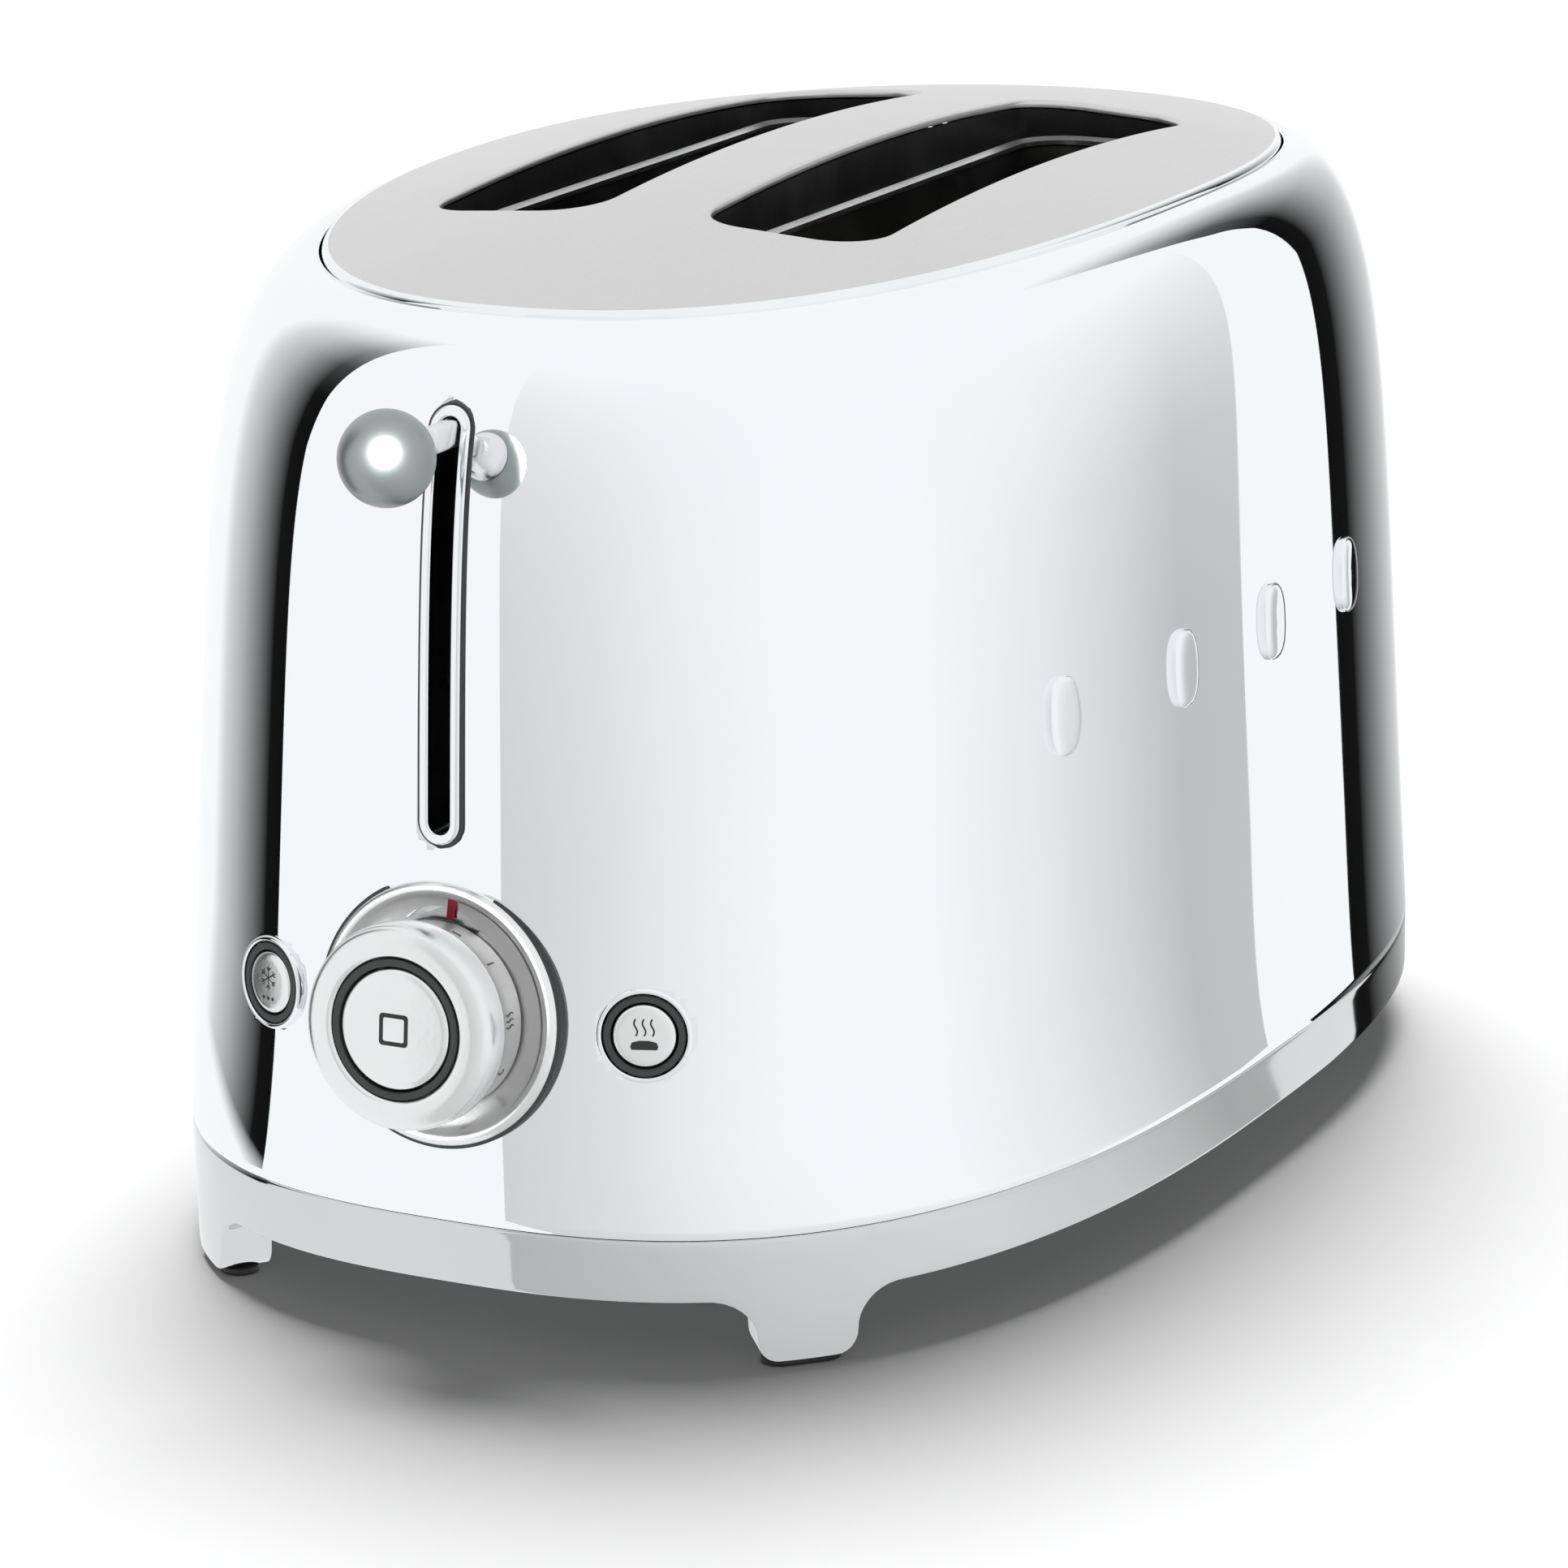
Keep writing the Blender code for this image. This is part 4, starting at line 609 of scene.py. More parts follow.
# %% Body shell
dish_low, dish_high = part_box("dial_dish")
bezel_low, bezel_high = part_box("lever_bezel")
ball_low, ball_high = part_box("lever_ball")
dial_axis = Vector((-0.995833, 0, 0.091191))
DIAL_ORIGIN = Vector((-0.146508, 0, 0.0639))
BUTTONS = {"defrost": (Vector((-0.140994, 0.0384, 0.0632)), Vector((-0.930202, 0.363028, 0.054169))),
           "reheat": (Vector((-0.140994, -0.0384, 0.0632)), Vector((-0.930202, -0.363028, 0.054169)))}
SLOT_HALF, DIAL_HOLE, BUTTON_HOLE, SHELL_SHEET = 3.1 * MM, 16.5 * MM, 7.2 * MM, 1.2 * MM


def shell_stays(point):
    """False where the shell has an opening."""
    if point.x > MIDDLE - HALF_LENGTH * 0.7:
        return True
    low, high = bezel_low.z + SLOT_HALF, bezel_high.z - SLOT_HALF
    off = max(0.0, low - point.z, point.z - high)
    if math.hypot(point.y, off) < SLOT_HALF:
        return False
    if (point - DIAL_ORIGIN).length < DIAL_HOLE:
        return False
    return all((point - origin).length > BUTTON_HOLE for origin, _ in BUTTONS.values())


shell = piece("body_shell_skin", skin("body_shell_skin", [[body_point(a, r) for a in ANGLES] for r in RISES],
                                      keep=shell_stays),
              mirror_chrome, stands_for="body_shell", sharp=80)
wall = shell.modifiers.new("sheet_thickness", "SOLIDIFY")
wall.thickness = SHELL_SHEET
wall.offset = -1
print("shell quads:", len(shell.data.polygons))

# %% [markdown]
# The top plate is one pressed sheet with a soft crown, brushed along its length, with a
# polished rim and satin lips round both slots. Its face is triangulated between the
# outlines, then lifted onto the crown. Rim and lips are narrow lofts that turn the edge
# over, because an edge with no thickness would look like paper.

# %% Plate outlines
liner_low, liner_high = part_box("slot_liner_front")
SLOT_SPREAD = -(liner_low.y + liner_high.y) / 2
SLOT_LONG = liner_high.x - liner_low.x - 1.6 * MM
SLOT_WIDE = liner_high.y - liner_low.y - 1.6 * MM
SLOT_CORNER = 11 * MM


def slot_ring(side, grow=0.0, arc=12, along=24):
    """A bread slot's outline, counter-clockwise, grown outward by a little."""
    half_x, half_y, corner = SLOT_LONG / 2 + grow, SLOT_WIDE / 2 + grow, SLOT_CORNER + grow
    points = []
    for turn, (sx, sy) in enumerate(((1, 1), (-1, 1), (-1, -1), (1, -1))):
        centre = (sx * (half_x - corner), sy * (half_y - corner))
        for k in range(arc + 1):
            a = math.pi / 2 * (turn + k / arc)
            points.append((centre[0] + corner * math.cos(a), centre[1] + corner * math.sin(a)))
        if turn in (0, 2):
            start, step = points[-1], -sx * 2 * (half_x - corner) / along
            points += [(start[0] + step * k, start[1]) for k in range(1, along)]
    return [(x, y + side * SLOT_SPREAD) for x, y in points]


def rim_ring(inset):
    return [plan(TOP_HALF_X - inset, TOP_HALF_Y - inset, TOP_POWER, a) for a in ANGLES]


def on_crown(ring, drop=0.0):
    return [Vector((MIDDLE + x, y, crown(x, y) - drop)) for x, y in ring]


print("slot:", round(SLOT_LONG, 4), "x", round(SLOT_WIDE, 4))

# %% Top plate
from mathutils.geometry import delaunay_2d_cdt

RIM_EASE, LIP_EASE = 1.3 * MM, 1.0 * MM
edges_of, flat_points = [], []
for ring in (rim_ring(RIM_EASE), slot_ring(-1, LIP_EASE), slot_ring(1, LIP_EASE)):
    first = len(flat_points)
    flat_points += [Vector(p) for p in ring]
    edges_of += [(first + i, first + (i + 1) % len(ring)) for i in range(len(ring))]


def in_slot(x, y, grow):
    half_x, half_y, corner = SLOT_LONG / 2 + grow, SLOT_WIDE / 2 + grow, SLOT_CORNER + grow
    dx, dy = max(0.0, abs(x) - half_x + corner), max(0.0, abs(abs(y) - SLOT_SPREAD) - half_y + corner)
    return math.hypot(dx, dy) < corner - 1e-7


def in_rim(x, y, inset):
    return (abs(x) / (TOP_HALF_X - inset)) ** TOP_POWER + (abs(y) / (TOP_HALF_Y - inset)) ** TOP_POWER < 1


step = 4 * MM
for i in range(-34, 35):
    for k in range(-20, 21):
        x, y = step * (i + 0.5 * (k % 2)), step * k
        if in_rim(x, y, RIM_EASE + 1.5 * MM) and not in_slot(x, y, LIP_EASE + 1.5 * MM):
            flat_points.append(Vector((x, y)))
spots, _, triangles, *_ = delaunay_2d_cdt(flat_points, edges_of, [], 0, 1e-7)
face_mesh = bpy.data.meshes.new("top_plate_face")
kept = []
for triangle in triangles:
    x, y = (sum(spots[k][c] for k in triangle) / 3 for c in (0, 1))
    if in_rim(x, y, RIM_EASE * 0.98) and not in_slot(x, y, LIP_EASE * 0.98):
        kept.append(triangle)
face_mesh.from_pydata([(MIDDLE + p.x, p.y, crown(p.x, p.y)) for p in spots], [], kept)


def turned_edge(name, outline_at, ease, deep, back, number):
    """A strip that turns the plate's edge over a quarter round, down, and back under."""
    rings = []
    for k in range(6):
        a = math.pi / 2 * k / 5
        rings.append(on_crown(outline_at(ease * (1 - math.sin(a))), ease * (1 - math.cos(a))))
    rings.append(on_crown(outline_at(0), deep))
    rings.append(on_crown(outline_at(back), deep))
    made = skin(name, rings)
    for face in made.polygons:
        face.material_index = number
    return made


rim_mesh = turned_edge("rim", rim_ring, RIM_EASE, 1.5 * MM, 3 * MM, 1)
lip_meshes = [turned_edge("lip", lambda grow, s=side: slot_ring(s, grow), LIP_EASE, 1.5 * MM, 2 * MM, 0)
              for side in (-1, 1)]
plate = piece("top_plate_pressed", joined("top_plate_pressed", [face_mesh, rim_mesh] + lip_meshes),
              (satin_steel, small_chrome), stands_for="top_plate", sharp=50)
print("plate faces:", len(plate.data.polygons))

# %% [markdown]
# The base is a polished band whose lower edge sweeps down into four short legs. It could
# be a ring with legs joined on, but in a mirror finish every seam shows. So one profile is
# carried round the plan, and only the height of its lower edge changes along the way.

# %% Band outline
BAND_LOW, BAND_TOP = 13.5 * MM, ring_high.z
BAND_WALL, LEG_DEEP = 3.0 * MM, 10.0 * MM
LEG_FOOT = ring_low.z
LEG_TIP, LEG_ROOT, LEG_CORNER = 9.5 * MM, 18.5 * MM, 4.0 * MM
FINE = 7200
fine = [band_plan(2 * math.pi * k / FINE) for k in range(FINE)]
run = [0.0]
for k in range(FINE):
    run.append(run[-1] + (fine[(k + 1) % FINE] - fine[k]).length)
leg_marks = []
for end in ("front_left", "front_right", "rear_left", "rear_right"):
    pad_low, pad_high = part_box("foot_pad_" + end)
    goal = Vector(((pad_low.x + pad_high.x) / 2 - MIDDLE, (pad_low.y + pad_high.y) / 2, 0))
    leg_marks.append(run[min(range(FINE), key=lambda k: (fine[k] - goal).length)])


def past_leg(mark):
    """Distance along the band to the nearest leg's middle."""
    return min(min(abs(mark - leg), run[-1] - abs(mark - leg)) for leg in leg_marks)


def lower_edge(mark):
    """Height of the band's lower edge: a rounded tip, then a sweep up to the band."""
    away = past_leg(mark)
    if away >= LEG_ROOT:
        return BAND_LOW
    if away > LEG_TIP:
        lean = (LEG_ROOT - away) / (LEG_ROOT - LEG_TIP)
        knee = LEG_FOOT + LEG_CORNER
        return knee + (BAND_LOW - knee) * math.sqrt(max(0.0, 1 - lean ** 2))
    bend = max(0.0, away - LEG_TIP + LEG_CORNER)
    return LEG_FOOT + LEG_CORNER - math.sqrt(max(0.0, LEG_CORNER ** 2 - bend ** 2))


print("legs stand at", [round(mark, 3) for mark in leg_marks], "m along the band")

# %% Band
marks, mark = [], 0.0
while mark < run[-1] - 0.2 * MM:
    marks.append(mark)
    near = abs(past_leg(mark) - LEG_TIP)
    mark += min(2.0 * MM, max(0.12 * MM, near * 0.3))
band_feet = []
k = 0
for mark in marks:
    while run[k + 1] < mark:
        k += 1
    share = (mark - run[k]) / (run[k + 1] - run[k])
    spot = fine[k].lerp(fine[(k + 1) % FINE], share)
    along = (fine[(k + 4) % FINE] - fine[k - 4]).normalized()
    band_feet.append((spot, Vector((along.y, -along.x, 0)), lower_edge(mark)))


def band_ring(inset, share, lift):
    """A ring of the band: share is 0 on its lower edge and 1 on its upper edge."""
    return [spot - outward * inset + Vector((MIDDLE, 0, low + (BAND_TOP - low) * share + lift))
            for spot, outward, low in band_feet]


roll, edge = 0.9 * MM, 0.7 * MM
quarter_turn = [math.pi / 2 * k / 6 for k in range(7)]
band_rows = [(BAND_WALL, 1, 0)]
band_rows += [(roll * (1 - math.sin(a)), 1, -roll * (1 - math.cos(a))) for a in quarter_turn]
band_rows += [(0, share, 0) for share in (0.8, 0.6, 0.4, 0.2)]
band_rows += [(edge * (1 - math.cos(a)), 0, edge * (1 - math.sin(a))) for a in quarter_turn]
band_rows += [(BAND_WALL, 0, 0), (LEG_DEEP, 0, 0), (LEG_DEEP, 0.1, 0), (BAND_WALL, 0.1, 0)]
band = piece("base_band_with_legs", skin("base_band_with_legs", [band_ring(*row) for row in band_rows],
                                         loop=True),
             polished_band, stands_for="base_ring", sharp=50)
print("band and legs:", len(band.data.polygons), "faces")

# %% [markdown]
# Under each slot hangs a collar of black enamelled sheet. Ten millimetres down it meets
# the bread chute, whose folded edge shows as one thin bright line. Both are lofts of the
# slot's own outline.

# %% Slot collars and chutes
CHUTE_DROP = 12.6 * MM
CHUTE_TOP = CROWN_TOP - CHUTE_DROP
for side, label in ((-1, "front"), (1, "rear")):
    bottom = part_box("slot_liner_" + label)[0].z
    shape = [(0.0, None, 1.9 * MM), (0.0, CHUTE_TOP + 1.6 * MM, 0), (-1.2 * MM, CHUTE_TOP + 0.9 * MM, 0),
             (-1.2 * MM, CHUTE_TOP, 0), (0.0, CHUTE_TOP - 0.6 * MM, 0), (0.1 * MM, bottom, 0),
             (0.7 * MM, bottom, 0), (0.7 * MM, None, 1.9 * MM)]
    rings = []
    for grow, height, drop in shape:
        ring = slot_ring(side, grow)
        rings.append(on_crown(ring, drop) if height is None
                     else [Vector((MIDDLE + x, y, height)) for x, y in ring])
    collar = skin("collar_" + label, rings, loop=True)
    for face in collar.polygons:
        inside = sum((collar.vertices[v].co.z for v in face.vertices), 0.0) / 4
        face.material_index = 1 if CHUTE_TOP - 0.1 * MM < inside < CHUTE_TOP + 1.4 * MM else (
            2 if inside < CHUTE_TOP else 0)
    piece("slot_collar_" + label, collar, (black_enamel, satin_cap, oven_sheet),
          stands_for="slot_liner_" + label, sharp=40)
print("collars made down to", round(bottom, 4))

# %% [markdown]
# The lever rides on the lift carriage. Its polished ball is a sphere cut flat at the back,
# where a short waisted collar joins it to the flat arm. The bezel round its slot follows
# the leaning wall, so it is a ring of rounded section swept along the wall.

# %% Lever ball and collar
collar_low, collar_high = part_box("lever_collar")
LEVER_Z = (collar_low.z + collar_high.z) / 2
BALL_R = (ball_high.z - ball_low.z) / 2
BALL_AT = Vector((ball_low.x + BALL_R, 0, LEVER_Z))
COLLAR_R = (collar_high.z - collar_low.z) / 2
cut = math.pi - math.asin(COLLAR_R / BALL_R)
ball_profile = [(BALL_R * math.sin(cut * k / 48), BALL_R * math.cos(cut * k / 48)) for k in range(49)]
ball_profile[0] = (0, BALL_R)
piece("lever_ball_polished", turned("lever_ball_polished", ball_profile + [(0, ball_profile[-1][1])]),
      ball_chrome, "carriage", "lever_ball", placed(BALL_AT, (-1, 0, 0)), 40)
reach = collar_high.x - collar_low.x
waist = 2.8 * MM
flare = [(waist + (COLLAR_R - waist) * (1 - math.cos(math.pi / 2 * k / 12)),
          reach * math.sin(math.pi / 2 * k / 12))
         for k in range(13)]
piece("lever_collar_waisted", turned("lever_collar_waisted", [(0, 0)] + flare + [(COLLAR_R, reach),
                                                                                 (0, reach)]),
      satin_cap, "carriage", "lever_collar",
      placed((collar_high.x, 0, LEVER_Z), (-1, 0, 0)), 40)
arm_low, arm_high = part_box("lever_arm")
piece("lever_arm_bar", rounded_box("lever_arm_bar", arm_low, arm_high, 1.1 * MM), satin_cap, "carriage",
      "lever_arm")
print("ball radius", round(BALL_R, 4), "at", tuple(round(v, 4) for v in BALL_AT))

# %% Slot bezel
def wall_x(z):
    """Where the lever end's wall stands at a height."""
    low, high = 0.0, 0.999
    for _ in range(40):
        middle = (low + high) / 2
        low, high = (middle, high) if body_point(math.pi, middle).z < z else (low, middle)
    return body_point(math.pi, low).x


BEZEL_OUT = (bezel_high.y - bezel_low.y) / 2
BEZEL_IN = BEZEL_OUT - 1.9 * MM
section = eased([(BEZEL_IN, -6.5 * MM), (BEZEL_IN, 1.0 * MM, 0.5 * MM), (BEZEL_OUT, 1.0 * MM, 0.8 * MM),
                 (BEZEL_OUT, 0.1 * MM)], 5)
path = []
top_z, low_z = bezel_high.z - BEZEL_OUT, bezel_low.z + BEZEL_OUT
for k in range(25):
    a = math.pi * k / 24
    path.append((top_z, math.cos(a), math.sin(a)))
path += [(top_z + (low_z - top_z) * k / 30, -1, 0) for k in range(1, 30)]
path += [(low_z, -math.cos(math.pi * k / 24), -math.sin(math.pi * k / 24)) for k in range(25)]
path += [(low_z + (top_z - low_z) * k / 30, 1, 0) for k in range(1, 30)]
rings = []
for size, height in section:
    ring = []
    for z, across, upward in path:
        y, at_z = across * size, z + upward * size
        ring.append(Vector((wall_x(at_z) - height, y, at_z)))
    rings.append(ring)
piece("lever_slot_bezel", skin("lever_slot_bezel", rings), small_chrome, "housing", "lever_bezel",
      None, 60)
rings = []
for size, height in ((BEZEL_OUT - 0.3 * MM, 0.45 * MM), (BEZEL_OUT + 0.4 * MM, 0.45 * MM),
                     (BEZEL_OUT + 0.45 * MM, -0.3 * MM)):
    rings.append([Vector((wall_x(z + upward * size) - height, across * size, z + upward * size))
                  for z, across, upward in path])
piece("lever_slot_gasket", skin("lever_slot_gasket", rings), grey_seal, "housing")
print("bezel from", round(low_z - BEZEL_OUT, 4), "to", round(top_z + BEZEL_OUT, 4))

# %% [markdown]
# The browning dial turns in a shallow polished dish. It has a wide satin cap with a soft
# front edge, and a silver barrel that carries the scale. The stop button sits in the
# middle inside a dark ring. All are lathe shapes on one axis, which leans with the wall.

# %% Dial dish
DIAL = placed(DIAL_ORIGIN, dial_axis)
DISH_R = (dish_high.y - dish_low.y) / 2
dish_profile = eased([
    (17.0 * MM, -3.5 * MM), (DISH_R, -3.5 * MM), (DISH_R, 0.9 * MM, 0.3 * MM),
    (DISH_R - 0.7 * MM, 2.2 * MM, 0.8 * MM),
    (DISH_R - 2.0 * MM, 2.2 * MM, 0.8 * MM), (DISH_R - 3.4 * MM, 1.0 * MM, 1.4 * MM), (17.9 * MM, 0.6 * MM),
    (6.8 * MM, 0.6 * MM)])
piece("dial_dish_polished", turned("dial_dish_polished", dish_profile[1:], 144), satin_cap, "housing",
      "dial_dish", DIAL, 45)
gasket = turned("dish_gasket", eased([(DISH_R - 0.5 * MM, -3.0 * MM), (DISH_R - 0.5 * MM, 0.75 * MM),
                                      (DISH_R + 0.55 * MM, 0.75 * MM, 0.2 * MM),
                                      (DISH_R + 0.55 * MM, -3.0 * MM)]), 144)
piece("dish_gasket", gasket, grey_seal, "housing", at=DIAL)
pointer = sheet("dial_pointer", [[(-0.55 * MM, -2.6 * MM), (0.55 * MM, -2.6 * MM), (0.75 * MM, 2.2 * MM),
                                  (0.4 * MM, 2.7 * MM), (-0.4 * MM, 2.7 * MM), (-0.75 * MM, 2.2 * MM)]],
                                  0.5 * MM)
piece("dial_pointer", pointer, red_print, "housing",
      at=DIAL @ Matrix.Rotation(math.radians(-7), 4, "Z") @ Matrix.Translation((0, 20.4 * MM, 1.3 * MM)))
print("dish radius", round(DISH_R, 4))

# %% Dial knob
knob_profile = eased([
    (0.0, 11.3 * MM), (12.9 * MM, 11.3 * MM), (12.9 * MM, 16.3 * MM, 0.2 * MM),
    (13.5 * MM, 16.95 * MM, 0.5 * MM),
    (16.6 * MM, 16.95 * MM, 1.2 * MM), (18.75 * MM, 15.6 * MM, 2.2 * MM), (18.8 * MM, 9.9 * MM, 0.6 * MM),
    (18.2 * MM, 9.45 * MM, 0.2 * MM), (17.2 * MM, 9.4 * MM), (17.2 * MM, 1.25 * MM, 0.3 * MM),
    (16.7 * MM, 1.0 * MM), (6.2 * MM, 1.0 * MM), (6.2 * MM, -10.0 * MM)], 6)
knob_mesh = turned("dial_knob_turned", knob_profile, 144)
BARREL_R = 17.2 * MM
for face in knob_mesh.polygons:
    height = sum(knob_mesh.vertices[v].co.z for v in face.vertices) / len(face.vertices)
    reach = max(math.hypot(*knob_mesh.vertices[v].co.xy) for v in face.vertices)
    face.material_index = 1 if height < 9.4 * MM and reach > 15 * MM else 0
piece("dial_knob_turned", knob_mesh, (satin_cap, silver_barrel), "dial", "dial_knob",
      DIAL, 40)

# %% [markdown]
# The scale on the barrel is printed: a short dash, figures from 1 to 6, and a small heat
# sign. Figures come from Blender's own text, turned into a mesh and wrapped round the
# barrel, so they follow its curve.

# %% Dial scale
def figure_mesh(text, size):
    data = bpy.data.curves.new("figure_" + text, "FONT")
    data.body, data.size, data.extrude = text, size, 0.02 * MM
    data.align_x, data.align_y = "CENTER", "CENTER"
    data.resolution_u = 3
    holder = bpy.data.objects.new("figure", data)
    bpy.context.scene.collection.objects.link(holder)
    made = bpy.data.meshes.new_from_object(holder.evaluated_get(bpy.context.evaluated_depsgraph_get()))
    bpy.data.objects.remove(holder)
    bpy.data.curves.remove(data)
    return made


def around_barrel(mesh, degrees, middle):
    """Wraps a flat mark round the barrel, clockwise from the top as seen from in front."""
    for v in mesh.vertices:
        a = math.radians(90 - degrees) - v.co.x / BARREL_R
        r = BARREL_R + 0.05 * MM + v.co.z
        v.co = (r * math.cos(a), r * math.sin(a), middle - v.co.y)
    return mesh


marks = [around_barrel(sheet("dash", [[(-0.9 * MM, -0.3 * MM), (0.9 * MM, -0.3 * MM), (0.9 * MM, 0.3 * MM),
                                       (-0.9 * MM, 0.3 * MM)]], 0.04 * MM, 0.005 * MM), 20, 5.4 * MM)]
for text, degrees in zip("123456", (48, 118, 146, 174, 202, 230)):
    marks.append(around_barrel(figure_mesh(text, 3.4 * MM), degrees, 5.4 * MM))
for k in (-1, 0, 1):
    wave = [(k * 1.1 * MM + 0.28 * MM * math.sin(t * math.pi / 3), (t - 3) * 0.4 * MM, 0) for t in range(7)]
    marks.append(around_barrel(wire("wave", [wave], 0.12 * MM, sides=1), 84, 5.4 * MM))
piece("dial_scale", joined("dial_scale", marks), black_print, "dial", at=DIAL)
print("marks on the barrel:", len(marks))

# %% Stop button
ring_profile = eased([(11.35 * MM, 11.6 * MM), (11.35 * MM, 16.65 * MM, 0.3 * MM),
                      (12.75 * MM, 16.65 * MM, 0.3 * MM),
                      (12.75 * MM, 11.6 * MM)])
piece("stop_ring_dark", turned("stop_ring_dark", ring_profile, 128), grey_seal, "dial", "stop_ring",
      DIAL)
button_profile = eased([(0, 16.95 * MM), (10.2 * MM, 16.9 * MM, 0.6 * MM), (11.05 * MM, 16.3 * MM, 0.4 * MM),
                        (11.05 * MM, 12.8 * MM), (3.0 * MM, 12.8 * MM), (3.0 * MM, -13.0 * MM),
                        (0, -13.0 * MM)])
piece("stop_button_face", turned("stop_button_face", button_profile, 128), satin_cap, "stop", "stop_button",
      DIAL)


def rounded_square(half, corner, middle=(0, 0), steps=6):
    points = []
    for turn, (sx, sy) in enumerate(((1, 1), (-1, 1), (-1, -1), (1, -1))):
        for k in range(steps + 1):
            a = math.pi / 2 * (turn + k / steps)
            points.append((middle[0] + sx * (half - corner) + corner * math.cos(a),
                           middle[1] + sy * (half - corner) + corner * math.sin(a)))
    return points


stop_sign = sheet("stop_sign", [rounded_square(2.9 * MM, 0.7 * MM), rounded_square(2.15 * MM, 0.4 * MM)],
                  0.1 * MM,
                  0.02 * MM)
piece("stop_sign", stop_sign, black_print, "stop", at=DIAL @ Matrix.Translation((0, 0, 16.93 * MM)))
print("stop button in place")

# %% [markdown]
# Two small push buttons stand on both sides of the dial, for frozen bread and for warming
# again. Each is a satin face in a dark seal inside a thin bright bezel. Their signs are
# drawn from strokes: a bun under three waves, and a snowflake over three dots.

# %% Signs
def strokes(name, lines, width=0.16 * MM, dots=()):
    """Lines and dots as flat print on a button's face."""
    parts = [wire(name, [[(x, y, 0) for x, y in line] for line in lines], width, sides=1)]
    for x, y, r in dots:
        parts.append(sheet("dot", [[(x + r * math.cos(math.pi * k / 8), y + r * math.sin(math.pi * k / 8))
                                    for k in range(16)]], 0.1 * MM, 0.02 * MM))
    made = joined(name, parts)
    for v in made.vertices:
        v.co.z *= 0.25
    return made


def wave(x, low, high, swing):
    return [(x + swing * math.sin(math.pi * 2 * t / 10), low + (high - low) * t / 10) for t in range(11)]


bun = [(-2.3 * MM, -2.4 * MM), (2.3 * MM, -2.4 * MM), (2.5 * MM, -1.8 * MM), (2.2 * MM, -1.1 * MM),
       (0.9 * MM, -0.75 * MM), (-0.9 * MM, -0.75 * MM), (-2.2 * MM, -1.1 * MM), (-2.5 * MM, -1.8 * MM)]
bun_mesh = sheet("bun", [bun], 0.1 * MM, 0.02 * MM)
waves = strokes("warm", [wave(x, 0.1 * MM, 3.2 * MM, 0.3 * MM) for x in (-1.5 * MM, 0, 1.5 * MM)])
warm_sign = joined("warm_sign", [bun_mesh, waves])
arms = []
for k in range(6):
    a = math.pi / 6 + math.pi / 3 * k
    tip = (2.2 * MM * math.cos(a), 0.9 * MM + 2.2 * MM * math.sin(a))
    arms.append([(0, 0.9 * MM), tip])
    for bend in (0.75, -0.75):
        start = (1.35 * MM * math.cos(a), 0.9 * MM + 1.35 * MM * math.sin(a))
        arms.append([start, (start[0] + 0.8 * MM * math.cos(a + bend),
                             start[1] + 0.8 * MM * math.sin(a + bend))])
frost_sign = strokes("frost_sign", arms, 0.13 * MM, [(x, -2.9 * MM, 0.32 * MM) for x in (-1.3 * MM, 0,
                                                                                         1.3 * MM)])
SIGNS = {"defrost": frost_sign, "reheat": warm_sign}
print("signs drawn:", list(SIGNS))

# %% Push buttons
for name, (origin, axis) in BUTTONS.items():
    stand = placed(origin, axis)
    face = turned(name + "_face", eased([
        (0, 1.12 * MM), (4.8 * MM, 1.05 * MM, 0.8 * MM), (5.8 * MM, 0.55 * MM, 0.5 * MM),
        (5.8 * MM, -2.0 * MM),
        (2.4 * MM, -2.0 * MM), (2.4 * MM, -7.4 * MM), (0, -7.4 * MM)]), 96)
    piece(name + "_button_face", face, satin_cap, name, name + "_button", stand)
    piece(name + "_sign", SIGNS[name], black_print, name, at=stand @ Matrix.Translation((0, 0, 1.11 * MM)))
    seal = turned(name + "_seal_ring", eased([
        (6.1 * MM, -4.5 * MM), (6.1 * MM, 0.7 * MM, 0.3 * MM), (7.4 * MM, 0.7 * MM, 0.3 * MM),
        (7.4 * MM, -4.5 * MM)]), 96)
    piece(name + "_seal_ring", seal, grey_seal, "housing", name + "_seal", stand)
    bezel = turned(name + "_bezel_ring", eased([
        (7.7 * MM, -1.5 * MM), (7.7 * MM, 0.8 * MM, 0.25 * MM), (8.25 * MM, 0.95 * MM, 0.3 * MM),
        (8.7 * MM, 0.5 * MM, 0.4 * MM), (8.7 * MM, -1.5 * MM)]), 96)
    piece(name + "_bezel_ring", bezel, small_chrome, "housing", name + "_bezel", stand)
print("push buttons made")

# %% [markdown]
# Four plain raised ovals decorate the front side. Each is a low cushion whose back follows
# the wall: rings of an oval that rise from the skin and close in a soft crown.

# %% Raised ovals
def wall_at_side(x, z):
    """Point and outward direction of the front wall at an x and a height."""
    low, high = math.pi, 2 * math.pi
    for _ in range(40):
        middle = (low + high) / 2
        low, high = (middle, high) if plan(HALF_LENGTH, HALF_WIDTH, BAND_POWER,
                                           middle)[0] < x - MIDDLE else (low, middle)
    best = None
    for _ in range(3):
        rise_low, rise_high = 0.0, 0.999
        for _ in range(40):
            rise = (rise_low + rise_high) / 2
            rise_low, rise_high = (rise, rise_high) if body_point(low, rise).z < z else (rise_low, rise)
        best = body_point(low, rise_low)
        low += (x - best.x) / (HALF_LENGTH * abs(math.sin(low)) + 1e-6)
    along = body_point(low + 0.01, rise_low) - body_point(low - 0.01, rise_low)
    upward = body_point(low, rise_low + 0.01) - body_point(low, rise_low - 0.01)
    return best, along.cross(upward).normalized()


